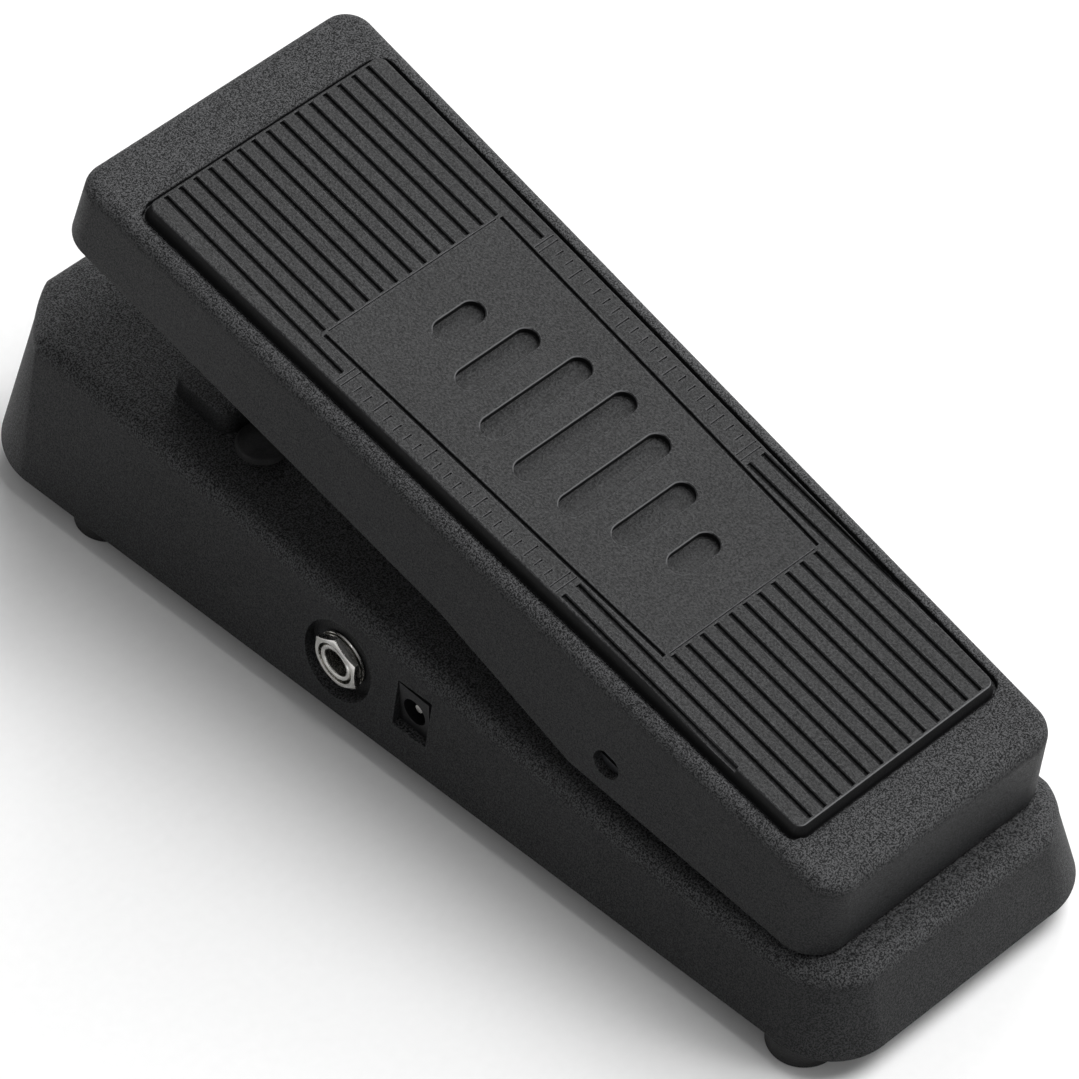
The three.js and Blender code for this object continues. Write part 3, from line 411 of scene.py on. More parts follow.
class Nodes:
    """A material's node tree, with short calls for the nodes that these materials share."""

    def __init__(self, name, metallic=0.0, ior=1.5, specular=0.5):
        self.material = bpy.data.materials.new(name)
        self.material.use_nodes = True
        self.tree = self.material.node_tree
        self.shader = self.tree.nodes["Principled BSDF"]
        self.shader.inputs["Metallic"].default_value = metallic
        self.shader.inputs["IOR"].default_value = ior
        self.shader.inputs["Specular IOR Level"].default_value = specular
        self.coordinates = self.tree.nodes.new("ShaderNodeTexCoord")

    def add(self, kind, **settings):
        node = self.tree.nodes.new(kind)
        for key, value in settings.items():
            setattr(node, key, value)
        return node

    def link(self, source, target):
        self.tree.links.new(source, target)

    def noise(self, size_mm, detail=2.0, roughness=0.5, stretch=(1, 1, 1)):
        """Noise whose features are about size_mm across."""
        mapping = self.add("ShaderNodeMapping")
        mapping.inputs["Scale"].default_value = stretch
        self.link(self.coordinates.outputs["Object"], mapping.inputs["Vector"])
        node = self.add("ShaderNodeTexNoise")
        node.inputs["Scale"].default_value = 1 / (size_mm * MM)
        node.inputs["Detail"].default_value = detail
        node.inputs["Roughness"].default_value = roughness
        self.link(mapping.outputs["Vector"], node.inputs["Vector"])
        return node.outputs["Fac"]

    def range(self, value, low, high, to_low, to_high):
        node = self.add("ShaderNodeMapRange")
        for key, number in (("From Min", low), ("From Max", high), ("To Min", to_low), ("To Max", to_high)):
            node.inputs[key].default_value = number
        self.link(value, node.inputs["Value"])
        return node.outputs["Result"]

    def math(self, operation, a, b):
        node = self.add("ShaderNodeMath", operation=operation)
        for value, socket in ((a, node.inputs[0]), (b, node.inputs[1])):
            if isinstance(value, (int, float)):
                socket.default_value = value
            else:
                self.link(value, socket)
        return node.outputs[0]

    def tint(self, factor, dark, light):
        node = self.add("ShaderNodeMix", data_type="RGBA")
        node.inputs["A"].default_value = (*dark, 1)
        node.inputs["B"].default_value = (*light, 1)
        self.link(factor, node.inputs["Factor"])
        return node.outputs["Result"]

    def blend(self, factor, first, second):
        node = self.add("ShaderNodeMix", data_type="RGBA")
        self.link(first, node.inputs["A"])
        if isinstance(second, tuple):
            node.inputs["B"].default_value = (*second, 1)
        else:
            self.link(second, node.inputs["B"])
        self.link(factor, node.inputs["Factor"])
        return node.outputs["Result"]

    def edges(self, radius_mm):
        """1 along rounded and sharp edges and 0 on flat faces."""
        rounded = self.add("ShaderNodeBevel", samples=4)
        rounded.inputs["Radius"].default_value = radius_mm * MM
        flat = self.add("ShaderNodeNewGeometry")
        dot = self.add("ShaderNodeVectorMath", operation="DOT_PRODUCT")
        self.link(rounded.outputs["Normal"], dot.inputs[0])
        self.link(flat.outputs["Normal"], dot.inputs[1])
        return self.range(dot.outputs["Value"], 0.999, 0.94, 0, 1)

    def facing(self, axis, low, high):
        """0 to 1 as the normal's part along an axis of the object goes from low to high."""
        split = self.add("ShaderNodeSeparateXYZ")
        self.link(self.coordinates.outputs["Normal"], split.inputs[0])
        return self.range(split.outputs[axis], low, high, 0, 1)

    def upward(self, low, high):
        """1 on faces that look up in the object's own frame and 0 on its sides."""
        return self.facing("Z", low, high)

    def bump(self, height, strength, distance_mm):
        node = self.add("ShaderNodeBump")
        node.inputs["Distance"].default_value = distance_mm * MM
        self.link(height, node.inputs["Height"])
        if isinstance(strength, (int, float)):
            node.inputs["Strength"].default_value = strength
        else:
            self.link(strength, node.inputs["Strength"])
        self.link(node.outputs["Normal"], self.shader.inputs["Normal"])

    def finish(self, colour, roughness):
        self.link(colour, self.shader.inputs["Base Color"])
        self.link(roughness, self.shader.inputs["Roughness"])
        return self.material


def powder_coat():
    """Near-black textured powder coat: gritty on top and along the rounds, finer on the sides; its light grit
    specks carry painted glints that are painted strongest on upward faces.
    """
    n = Nodes("powder_coat", specular=0.15)
    grit = n.noise(0.36, detail=3, roughness=0.65)
    fine = n.noise(0.22, detail=1)
    cloud = n.noise(30, detail=2)
    top = n.upward(0.15, 0.75)
    base = n.tint(n.range(cloud, 0.35, 0.65, 0, 1), (0.0065, 0.0068, 0.0072), (0.0095, 0.0098, 0.0104))
    # Light grit specks with painted glints: painted much stronger on upward faces, where the light falls, than on
    # the sides.
    grit_and_painted_glint = n.math("MULTIPLY", n.range(grit, 0.42, 0.6, 0, 1), n.range(top, 0, 1, 0.18, 0.95))
    colour = n.blend(grit_and_painted_glint, base, (0.108, 0.109, 0.112))
    edge_wear_and_highlight = n.math("MULTIPLY", n.edges(0.5), n.range(grit, 0.45, 0.6, 0, 0.5))
    colour = n.blend(edge_wear_and_highlight, colour, (0.05, 0.05, 0.052))
    height = n.math("ADD", n.math("MULTIPLY", grit, 1.0), n.math("MULTIPLY", fine, 0.35))
    n.bump(height, n.range(top, 0, 1, 0.2, 1.0), 0.45)
    return n.finish(colour, n.range(grit, 0.3, 0.7, 0.66, 0.46))


def mat_rubber():
    """Moulded rubber with a fine leathery pebble, smooth groove walls, and a painted highlight along its rounded
    edges, partly edge wear, brightest on the heel-facing edge.
    """
    n = Nodes("mat_rubber", ior=1.45, specular=0.36)
    pebble = n.noise(0.5, detail=2.5, roughness=0.6)
    fine = n.noise(0.2, detail=1)
    cloud = n.range(n.noise(22, detail=2), 0.35, 0.65, 0.8, 1)
    top = n.upward(0.6, 0.9)
    grain = n.math("MULTIPLY", cloud, n.range(pebble, 0.36, 0.64, 0, 1))
    base = n.tint(grain, (0.0035, 0.0037, 0.0041), (0.027, 0.0274, 0.0285))
    wall = n.blend(top, n.tint(fine, (0.005, 0.005, 0.0055), (0.008, 0.008, 0.0085)), base)
    # Lighter edges: partly edge wear, partly a painted highlight along the mat's rounded edges and groove mouths.
    edge_wear_and_highlight = n.math("MULTIPLY", n.edges(0.45), n.range(pebble, 0.35, 0.6, 0.1, 0.6))
    colour = n.blend(edge_wear_and_highlight, wall, (0.09, 0.091, 0.094))
    # Painted highlight on the rounded edges that face the heel and up.
    rim = n.math("MULTIPLY", n.upward(0.2, 0.4), n.facing("Y", -0.4, -0.65))
    colour = n.blend(rim, colour, (0.13, 0.131, 0.135))
    height = n.math("ADD", pebble, n.math("MULTIPLY", fine, 0.3))
    n.bump(height, n.range(top, 0, 1, 0.1, 0.9), 0.3)
    return n.finish(colour, n.range(pebble, 0.3, 0.7, 0.62, 0.45))


def black_rubber():
    n = Nodes("black_rubber", ior=1.45)
    grain = n.noise(0.35, detail=3)
    dust = n.noise(5, detail=4)
    colour = n.tint(n.range(dust, 0.45, 0.75, 0, 1), (0.009, 0.009, 0.0095), (0.02, 0.02, 0.021))
    edge_wear_and_highlight = n.math("MULTIPLY", n.edges(0.4), 0.4)
    colour = n.blend(edge_wear_and_highlight, colour, (0.035, 0.035, 0.036))
    n.bump(grain, 0.3, 0.15)
    return n.finish(colour, n.range(grain, 0.3, 0.7, 0.62, 0.85))


def moulded_plastic(name, dark, light, grain_mm=0.3, gloss=(0.32, 0.5), specular=0.5):
    n = Nodes(name, specular=specular)
    grain = n.noise(grain_mm, detail=2)
    cloud = n.noise(8, detail=2)
    colour = n.tint(n.range(cloud, 0.35, 0.65, 0, 1), dark, light)
    edge_wear_and_highlight = n.math("MULTIPLY", n.edges(0.3), 0.35)
    colour = n.blend(edge_wear_and_highlight, colour, tuple(min(1, c * 1.6 + 0.01) for c in light))
    n.bump(grain, 0.15, 0.08)
    return n.finish(colour, n.range(grain, 0.3, 0.7, *gloss))


def brushed_metal(name, dark, light, stretch, gloss, bump=0.12):
    """Metal with fine lines along one axis, light stains and brighter edges."""
    n = Nodes(name, metallic=1.0)
    lines = n.noise(0.25, detail=3, stretch=stretch)
    stain = n.noise(4, detail=4, roughness=0.6)
    colour = n.tint(n.range(stain, 0.35, 0.7, 0, 1), light, dark)
    edge_wear_and_highlight = n.math("MULTIPLY", n.edges(0.25), 0.5)
    colour = n.blend(edge_wear_and_highlight, colour, tuple(min(1, c * 1.25) for c in light))
    n.bump(lines, bump, 0.06)
    rough = n.math("ADD", n.range(lines, 0.3, 0.7, *gloss), n.range(stain, 0.4, 0.8, 0, 0.12))
    return n.finish(colour, rough)


def circuit_laminate():
    """Green lacquered board with a faint weave and lighter flux stains."""
    n = Nodes("circuit_laminate")
    weave = n.noise(0.4, detail=1, stretch=(1, 4, 1))
    stain = n.noise(9, detail=4)
    colour = n.tint(n.range(stain, 0.4, 0.7, 0, 1), (0.012, 0.085, 0.035), (0.03, 0.14, 0.055))
    edge_wear_and_highlight = n.math("MULTIPLY", n.edges(0.3), 0.6)
    colour = n.blend(edge_wear_and_highlight, colour, (0.28, 0.26, 0.14))
    n.bump(weave, 0.2, 0.08)
    return n.finish(colour, n.range(weave, 0.3, 0.7, 0.25, 0.45))


MATERIALS = {
    "casting": powder_coat(),
    "mat_rubber": mat_rubber(),
    "black_rubber": black_rubber(),
    "plate_steel": brushed_metal(
        "plate_steel", (0.03, 0.031, 0.033), (0.05, 0.051, 0.054), (1, 1, 1), (0.42, 0.6), 0.3
    ),
    "steel": brushed_metal("steel", (0.36, 0.36, 0.37), (0.56, 0.56, 0.57), (0.15, 1, 1), (0.25, 0.4)),
    "nickel": brushed_metal("nickel", (0.5, 0.49, 0.46), (0.8, 0.79, 0.76), (1, 1, 1), (0.14, 0.26), 0.06),
    "black_plastic": moulded_plastic(
        "black_plastic", (0.004, 0.004, 0.0045), (0.008, 0.008, 0.009), specular=0.2
    ),
    "nylon": moulded_plastic("nylon", (0.55, 0.53, 0.46), (0.68, 0.66, 0.6)),
    "board_green": circuit_laminate(),
    "component_red": moulded_plastic("component_red", (0.2, 0.03, 0.02), (0.3, 0.05, 0.03), 0.5),
    "component_blue": moulded_plastic("component_blue", (0.02, 0.05, 0.2), (0.03, 0.08, 0.3), 0.5),
    "battery_case": brushed_metal(
        "battery_case", (0.09, 0.1, 0.11), (0.2, 0.21, 0.23), (1, 0.1, 1), (0.3, 0.45)
    ),
}

# ---- Base ---------------------------------------------------------------------------------------


def base_top(y):
    return BASE["heel_top"] + max(0, y - BASE["knee_y"]) * BASE["ramp"]


def base_wall(drop):
    """The inset of the drafted wall at the height that lies drop below the top."""

    def inset(x, y, nx, ny):
        draft = BASE["side_draft"] * abs(nx) + BASE["end_draft"] * abs(ny)
        return draft * (base_top(y) - drop - BASE["bottom"])

    return inset


def base_outer():
    half = half_outline(BASE["plan"], [BASE["knee_y"]])
    lip = BASE["lip"]
    wall = base_wall(BASE["edge"])
    return loft(
        half,
        [
            (lambda *_: lip, lambda y: BASE["bottom"]),
            (lambda *_: lip * 0.3, lambda y: BASE["bottom"] + lip * 0.3),
            (lambda *_: lip * 0.15, lambda y: BASE["bottom"] + lip),
            (wall, lambda y: base_top(y) - BASE["edge"]),
            *rounded_top(wall, base_top, BASE["edge"]),
        ],
    )


def base_hollow():
    half = half_outline(BASE["plan"], [BASE["knee_y"]], steps=6)
    wall = base_wall(BASE["wall"])
    return loft(
        half,
        [
            (lambda *_: BASE["wall"], lambda y: BASE["bottom"] - OVER),
            (lambda *p: wall(*p) + BASE["wall"], lambda y: base_top(y) - BASE["wall"]),
        ],
    )


def plate_rebate():
    return loft(
        half_outline(BASE["plan"], steps=6),
        [
            (lambda *_: BASE["rebate"], lambda y: BASE["bottom"] - OVER),
            (lambda *_: BASE["rebate"], lambda y: BASE["bottom"] + BASE["rebate_depth"]),
        ],
    )


def switch_plateau():
    p = PLATEAU
    plan = {
        "heel_y": p["heel_y"],
        "toe_y": p["toe_y"],
        "heel_half": p["half"],
        "toe_half": p["half"],
        "heel_radius": p["radius"],
        "toe_radius": p["radius"],
    }
    low = base_top(p["heel_y"]) - OVER

    def wall(x, y, nx, ny):
        return p["draft"]

    rings = [(lambda *_: 0, lambda y: low), (wall, lambda y: p["top"] - 1)]
    return loft(half_outline(plan, steps=8), rings + rounded_top(wall, lambda y: p["top"], 1, 4))


def pivot_lug(side):
    """One of the two cast ears that hold the axle's bushes."""
    foot = base_top(PIVOT.y) - LUG["sink"] - PIVOT.z
    foot_half = LUG["radius"] + LUG["flare"]
    outline = [(-foot_half, foot), (foot_half, foot)]
    steps = 24
    for i in range(steps + 1):
        angle = math.pi * i / steps
        outline.append((LUG["radius"] * math.cos(angle), LUG["radius"] * math.sin(angle)))
    bm = bmesh.new()
    faces = []
    for x in sorted((side * LUG["inner"], side * LUG["outer"])):
        faces.append([bm.verts.new((x, PIVOT.y + y, PIVOT.z + z)) for y, z in outline])
    bm.faces.new(faces[0])
    bm.faces.new(faces[1][::-1])
    for i in range(len(outline)):
        j = (i + 1) % len(outline)
        bm.faces.new((faces[0][i], faces[0][j], faces[1][j], faces[1][i]))
    bmesh.ops.recalc_face_normals(bm, faces=bm.faces)
    return bm


def jack_openings(side):
    """A socket's round recess and its hole."""
    recess = bar(JACK["recess"], (JACK["floor"], FAR), 96)
    hole = bar(JACK["hole"], (JACK["pad_face"] - OVER, FAR))
    return [along_x(recess, JACK["y"], JACK["z"], side), along_x(hole, JACK["y"], JACK["z"], side)]


def middle_of(node):
    """The middle of a CAD node's box, in millimetres."""
    low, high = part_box(node)
    return (low + high) / (2 * MM)


def hanging_bosses():
    """The screw bosses inside the base, and the holes drilled up into them."""
    feet = [middle_of(f"foot_{place}").xy for place in FOOT_PLACES]
    bosses, holes = [], []
    for kind in ({**FOOT_BOSS, "at": feet}, BOARD_POST, BRACKET_BOSS):
        for x, y in kind["at"]:
            bosses.append(placed(bar(kind["radius"], (kind["from"], FAR)), x, y))
            holes.append(placed(bar(SCREW_HOLE, (0, kind["hole_top"]), 24), x, y))
    return bosses, holes


def base_housing():
    pads = []
    for side in (-1, 1):
        x = sorted((side * JACK["pad_face"], side * FAR))
        pads.append(block(x, JACK["pad_y"], (BASE["bottom"] + BASE["rebate_depth"], JACK["pad_top"])))
    bosses, screw_holes = hanging_bosses()
    # The walls stay thick behind the sockets, and the bosses stay whole.
    hollow = combine(loose(base_hollow()), [*pads, *bosses])
    shape = loose(base_outer())
    combine(shape, [taken(hollow), plate_rebate()])
    combine(shape, [switch_plateau(), pivot_lug(-1), pivot_lug(1)], "UNION")
    dc_y = (DC["y"] - DC["half_y"], DC["y"] + DC["half_y"])
    dc_z = (DC["z"] - DC["half_z"], DC["z"] + DC["half_z"])
    px, py = SWITCH["pocket"]
    pocket_y = (SWITCH["y"] - py, SWITCH["y"] + py)
    slot_half = RACK_SLOT["half"]
    low = BASE["heel_top"]
    cutters = [
        *screw_holes,
        *jack_openings(-1),
        *jack_openings(1),
        block((-FAR, OVER - JACK["pad_face"]), dc_y, dc_z),
        block((-px, px), pocket_y, (low, SWITCH["hollow_top"])),
        placed(bar(SWITCH["hole"], (low, FAR)), 0, SWITCH["y"]),
        block((-slot_half, slot_half), RACK_SLOT["y"], (low, FAR)),
        along_x(bar(LUG["bore"], (-FAR, FAR)), PIVOT.y, PIVOT.z),
    ]
    combine(shape, cutters)
    finish_piece(shape, "base_shell", "base_housing", "base", MATERIALS["casting"])


# ---- Treadle ------------------------------------------------------------------------------------


def skirt_edge(y):
    """The height of the treadle's lower edge, which dips beside the rack."""
    points = TREADLE["skirt"]
    for (y0, z0), (y1, z1) in zip(points, points[1:]):
        if y < y1:
            return mix(z0, z1, (y - y0) / (y1 - y0))
    return points[-1][1]


def treadle_outer():
    draft, lip, top = TREADLE["draft"], TREADLE["lip"], TREADLE["top"]
    half = half_outline(TREADLE["plan"], [y for y, _ in TREADLE["skirt"][1:-1]])
    wall_top = top - TREADLE["edge"]

    def wall(*_):
        return draft * wall_top

    def low(extra):
        return lambda x, y, nx, ny: draft * skirt_edge(y) + extra

    rings = [
        (low(lip), skirt_edge),
        (low(lip * 0.3), lambda y: skirt_edge(y) + lip * 0.3),
        (low(0), lambda y: skirt_edge(y) + lip),
        (wall, lambda y: wall_top),
    ]
    return loft(half, rings + rounded_top(wall, lambda y: top, TREADLE["edge"]))


def treadle_hollow():
    half = half_outline(TREADLE["plan"], steps=6)
    levels = (TREADLE["open"], TREADLE["underside"])
    rings = []
    for z in levels:
        inset = TREADLE["wall"] + TREADLE["draft"] * z
        rings.append((lambda *_, inset=inset: inset, lambda y, z=z: z))
    return loft(half, rings)


def mat_seat():
    """The recess round the mat, whose mouth is rounded."""

    def gap(x, y, nx, ny):
        return -max(MAT["side_gap"] * abs(nx), MAT["end_gap"] * abs(ny))

    top, mouth = TREADLE["top"], MAT["mouth"]
    rings = [(gap, lambda y: MAT["seat"]), (gap, lambda y: top - mouth)]
    steps = 5
    for i in range(1, steps + 1):
        angle = (math.pi / 2) * i / steps
        out = mouth * (1 - math.cos(angle))
        rise = mouth * (1 - math.sin(angle))
        rings.append((lambda *p, out=out: gap(*p) - out, lambda y, rise=rise: top - rise))
    rings.append((lambda *p: gap(*p) - mouth, lambda y: top + OVER))
    return loft(half_outline(MAT["plan"], steps=8), rings)


def bumper_posts(side):
    """The posts that meet the bumpers, the toe one toe-down and the heel one heel-down, a gap short."""
    posts = []
    for end, tilt, slant in (("toe", TOE_DOWN_TILT, 0), ("heel", TILT, math.tan(TILT))):
        low, high = (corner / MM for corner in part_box(f"{end}_bumper_right"))
        radius = TREADLE["post_radius"][end]
        dy = (low.y + high.y) / 2 - PIVOT.y
        dz = high.z + GAP + radius * slant - PIVOT.z
        y = dy * math.cos(tilt) + dz * math.sin(tilt)
        start = dz * math.cos(tilt) - dy * math.sin(tilt)
        post = bar(radius, (start, TREADLE["underside"] + OVER))
        posts.append(placed(post, side * (low.x + high.x) / 2, y))
    return posts


def treadle_casting():
    shape = loose(treadle_outer())
    combine(shape, [treadle_hollow()])
    face, radius = TREADLE["boss"]
    roof = TREADLE["underside"] + OVER
    additions = []
    plan, pad = TREADLE["plan"], TREADLE["clevis_pad"]
    wall_face = mix(plan["heel_half"], plan["toe_half"], -plan["heel_y"] / (plan["toe_y"] - plan["heel_y"]))
    reach = wall_face - TREADLE["wall"] / 2
    for side in (-1, 1):
        additions.append(along_x(bar(radius, (face, reach)), 0, 0, side))
        additions += bumper_posts(side)
    half_x, half_y = pad["half"]
    pad_y = (pad["y"] - half_y, pad["y"] + half_y)
    additions.append(block((-half_x, half_x), pad_y, (pad["bottom"], roof)))
    combine(shape, additions, "UNION")
    hole, mouth = TREADLE["axle_hole"], TREADLE["axle_mouth"]
    start = wall_face - (mouth - hole)
    outer = wall_face + 2 * (mouth - hole)
    bore = turned([(0, 0), (hole, 0), (hole, start), (mouth, outer), (mouth, FAR), (0, FAR)])
    bores = [along_x(bore.copy(), 0, 0, side) for side in (-1, 1)]
    screw_y = (pad["y"] - pad["screw_offset"], pad["y"] + pad["screw_offset"])
    screw_holes = [placed(bar(SCREW_HOLE, (0, pad["hole_top"]), 24), 0, y) for y in screw_y]
    combine(shape, [mat_seat(), *bores, *screw_holes])
    finish_piece(
        shape, "treadle_shell", "treadle", "treadle", MATERIALS["casting"], TREADLE_FRAME
    )


# ---- Mat ----------------------------------------------------------------------------------------


def channel(start, end, width, depth, mouth=GROOVE["mouth"]):
    """A straight groove cutter from start to end in the mat's top, wider at its mouth."""
    start, end = Vector(start), Vector(end)
    along = (end - start).normalized()
    across = Vector((-along.y, along.x))
    top = MAT["top"]
    section = [
        (-width / 2 - mouth, top + OVER),
        (-width / 2 - mouth, top),
        (-width / 2, top - mouth),
        (-width / 2, top - depth),
        (width / 2, top - depth),
        (width / 2, top - mouth),
        (width / 2 + mouth, top),
        (width / 2 + mouth, top + OVER),
    ]
    bm = bmesh.new()
    ends = []
    for point in (start, end):
        ends.append([bm.verts.new((*(point + across * a), z)) for a, z in section])
    bm.faces.new(ends[0])
    bm.faces.new(ends[1][::-1])
    for i in range(len(section)):
        j = (i + 1) % len(section)
        bm.faces.new((ends[0][i], ends[0][j], ends[1][j], ends[1][i]))
    bmesh.ops.recalc_face_normals(bm, faces=bm.faces)
    return bm


def merged(parts):
    """Several solids that don't touch, as one tool."""
    whole = bmesh.new()
    for bm in parts:
        mesh = bpy.data.meshes.new("part")
        bm.to_mesh(mesh)
        bm.free()
        whole.from_mesh(mesh)
        bpy.data.meshes.remove(mesh)
    return whole


def ribs():
    """The parallel grooves of both ends, of which the outer pairs run on beside the panel."""
    plan, last = MAT["plan"], GROOVE["outermost"]
    tools = []
    for i in range(-last, last + 1):
        x = i * GROOVE["pitch"]
        in_by = last - abs(i)
        toe_start = GROOVE["beside_toe"] if in_by == 0 else PANEL["toe_y"] + GROOVE["panel_rim"]
        heel_end = GROOVE["beside_heel"] if in_by <= 1 else PANEL["heel_y"] - GROOVE["panel_rim"]
        heel_start = GROOVE["edge_y"] if in_by == 0 else plan["heel_y"] + GROOVE["rim"]
        toe_end = plan["toe_y"] - GROOVE["rim"]
        tools.append(channel((x, toe_start), (x, toe_end), GROOVE["width"], GROOVE["depth"]))
        tools.append(channel((x, heel_start), (x, heel_end), GROOVE["width"], GROOVE["depth"]))
    return merged(tools)


def panel_border():
    """The grooves along the panel's long sides."""
    width, depth, mouth = 0.8, 0.9, 0.12
    beside, past = 0.5, 0.2
    tools = []
    heel, toe = PANEL["heel_y"], PANEL["toe_y"]
    for sign in (-1, 1):
        start = (sign * (PANEL["heel_half"] + beside), heel - past)
        end = (sign * (PANEL["toe_half"] + beside), toe + past)
        tools.append(channel(start, end, width, depth, mouth))
    return merged(tools)


def thin_lines():
    """The thin lines across the ends of the panel and of the strips beside it."""
    section = (THIN_LINE["width"], THIN_LINE["depth"], THIN_LINE["mouth"])
    tools = []
    for end, sign in (("heel", -1), ("toe", 1)):
        y = PANEL[f"{end}_y"] + sign * THIN_LINE["from_panel"]
        half = PANEL_END_HALF[end]
        tools.append(channel((-half, y), (half, y), *section))
    for sign in (-1, 1):
        for y, inner, outer in STRIP_LINES:
            tools.append(channel((sign * inner, y), (sign * outer, y), *section))
    return merged(tools)


def level_marks():
    """Seven round-ended bars of different lengths sunk across the panel, like a level meter."""
    tools = []
    count, pitch, width, depth = MARKS["count"], MARKS["pitch"], MARKS["width"], MARKS["depth"]
    middle = (PANEL["heel_y"] + PANEL["toe_y"]) / 2
    for i in range(count):
        y = middle + (i - (count - 1) / 2) * pitch
        swell = math.sin(math.pi * (i + MARKS["lead"]) / (count + MARKS["spread"]))
        half = MARKS["shortest"] + MARKS["swell"] * swell ** MARKS["sharpness"]
        tools.append(rounded_slot(y, half, width, depth))
    return merged(tools)


def rounded_slot(y, half, width, depth):
    """A slot across the panel with round ends and a slightly rounded mouth."""
    radius, mouth, steps = width / 2, 0.2, 16
    outline = []
    for sign, start in ((1, -math.pi / 2), (-1, math.pi / 2)):
        for i in range(steps + 1):
            angle = start + math.pi * i / steps
            outline.append((sign * (half - radius), math.cos(angle), math.sin(angle)))
    top = MAT["top"]
    wide = radius + mouth
    levels = [(radius, top - depth), (radius, top - mouth), (wide, top), (wide, top + OVER)]
    bm = bmesh.new()
    loops = []
    for r, z in levels:
        loops.append([bm.verts.new((cx + r * c, y + r * s, z)) for cx, c, s in outline])
    count = len(outline)
    for low, high in zip(loops, loops[1:]):
        for i in range(count):
            j = (i + 1) % count
            bm.faces.new((low[i], low[j], high[j], high[i]))
    bm.faces.new(loops[0][::-1])
    bm.faces.new(loops[-1])
    bmesh.ops.recalc_face_normals(bm, faces=bm.faces)
    return bm


def scale_ticks():
    """Short ticks along both side strips, like a graduated scale: every fifth is longer."""
    tools = []
    plan = MAT["plan"]
    section = (TICK_GROOVE["width"], TICK_GROOVE["depth"], TICK_GROOVE["mouth"])
    for sign in (-1, 1):
        for i in range(TICK["count"]):
            y = STRIP["heel_y"] + TICK["start"] + i * TICK["step"]
            share = (y - plan["heel_y"]) / (plan["toe_y"] - plan["heel_y"])
            outer = mix(plan["heel_half"], plan["toe_half"], share) - TICK["from_edge"]
            length = TICK["long"] if i % 5 == 2 else TICK["short"]
            tools.append(channel((sign * (outer - length), y), (sign * outer, y), *section))
    return merged(tools)


def treadle_mat():
    top, edge = MAT["top"], MAT["edge"]
    rings = [(lambda *_: -MAT["flare"], lambda y: MAT["seat"] + GAP), (lambda *_: 0, lambda y: top - edge)]
    for inset, drop in ((edge * 0.2, edge * 0.4), (edge * 0.6, edge * 0.1), (edge, 0)):
        rings.append((lambda *_, inset=inset: inset, lambda y, drop=drop: top - drop))
    shape = loose(loft(half_outline(MAT["plan"], steps=8), rings))
    combine(shape, [ribs(), panel_border(), thin_lines(), level_marks(), scale_ticks()])
    finish_piece(
        shape, "mat", "treadle_mat", "treadle", MATERIALS["mat_rubber"], TREADLE_FRAME
    )


# ---- Sockets ------------------------------------------------------------------------------------


def hex_nut(across, thickness, bore, start):
    """A six-sided nut about Z with both ends chamfered to a round."""
    nut = bar(across / math.sqrt(3), (start, start + thickness), 6)
    shape = loose(nut)
    radius, slope = across / 2, 0.45
    reach = across / math.sqrt(3) - radius + 0.1
    profile = [
        (0, start - OVER),
        (radius - 0.1, start - OVER),
        (radius - 0.1, start),
        (radius + reach, start + reach * slope),
        (radius + reach, start + thickness - reach * slope),
        (radius - 0.1, start + thickness),
        (radius - 0.1, start + thickness + OVER),
        (0, start + thickness + OVER),
    ]
    keep = turned(profile, 96)
    combine(shape, [keep], "INTERSECT")
    combine(shape, [bar(bore, (start - OVER, start + thickness + OVER))])
    return bevel(shape, 0.08, 2, 25)


def jack_hardware(name, side):
    """A socket's washer and its nut."""
    place = Matrix.Translation((0, JACK["y"], JACK["z"])) @ Matrix.Rotation(side * math.pi / 2, 4, "Y")
    start = JACK["floor"] + GAP
    w, nut_sizes = JACK["washer"], JACK["nut"]
    end, flat = start + w["thickness"], w["outer"] - w["edge"]
    inner, outer = w["inner"], w["outer"]
    washer = ring([(inner, start), (flat, start), (outer, start + w["rise"]), (flat, end), (inner, end)])
    finish_piece(
        loose(washer), f"{name}_washer", f"{name}_jack_washer", "base", MATERIALS["nickel"], place
    )
    nut_start = start + nut_sizes["above_seat"]
    nut = hex_nut(nut_sizes["across"], nut_sizes["thickness"], nut_sizes["bore"], nut_start)
    finish_piece(nut, f"{name}_nut", f"{name}_jack_nut", "base", MATERIALS["nickel"], place)


def jack_body(name, side):
    """A socket: its plastic body inside the base, and its bright threaded barrel."""
    place = Matrix.Translation((0, JACK["y"], JACK["z"])) @ Matrix.Rotation(side * math.pi / 2, 4, "Y")
    face = JACK["pad_face"] - GAP
    half, bore = JACK["body_half"], JACK["bore"]
    body = bevel(loose(block((-half, half), (-half, half), (JACK["body_back"], face))), 0.8, 3)
    combine(body, [bar(bore, (JACK["bore_floor"], FAR))])
    finish_piece(
        body, f"{name}_body", f"{name}_jack", "base", MATERIALS["black_plastic"], place
    )
    end, inner, outer = JACK["thread_end"], bore, JACK["thread"]
    profile = [(inner, face + 0.1), (outer - 0.25, face + 0.1)]
    pitch, turns = 0.8, 7
    for i in range(turns):
        z = face + 0.3 + i * pitch
        profile += [(outer - 0.3, z), (outer, z + pitch / 2)]
    profile += [(outer - 0.3, end - 0.55), (outer - 0.35, end - 0.3), (outer - 0.6, end)]
    profile += [(inner + 0.6, end), (inner + 0.2, end - 0.15), (inner, end - 0.5)]
    barrel = loose(ring(profile, 96))
    finish_piece(
        barrel, f"{name}_barrel", f"{name}_jack", "base", MATERIALS["nickel"], place
    )


# ---- Feet and bumpers ---------------------------------------------------------------------------


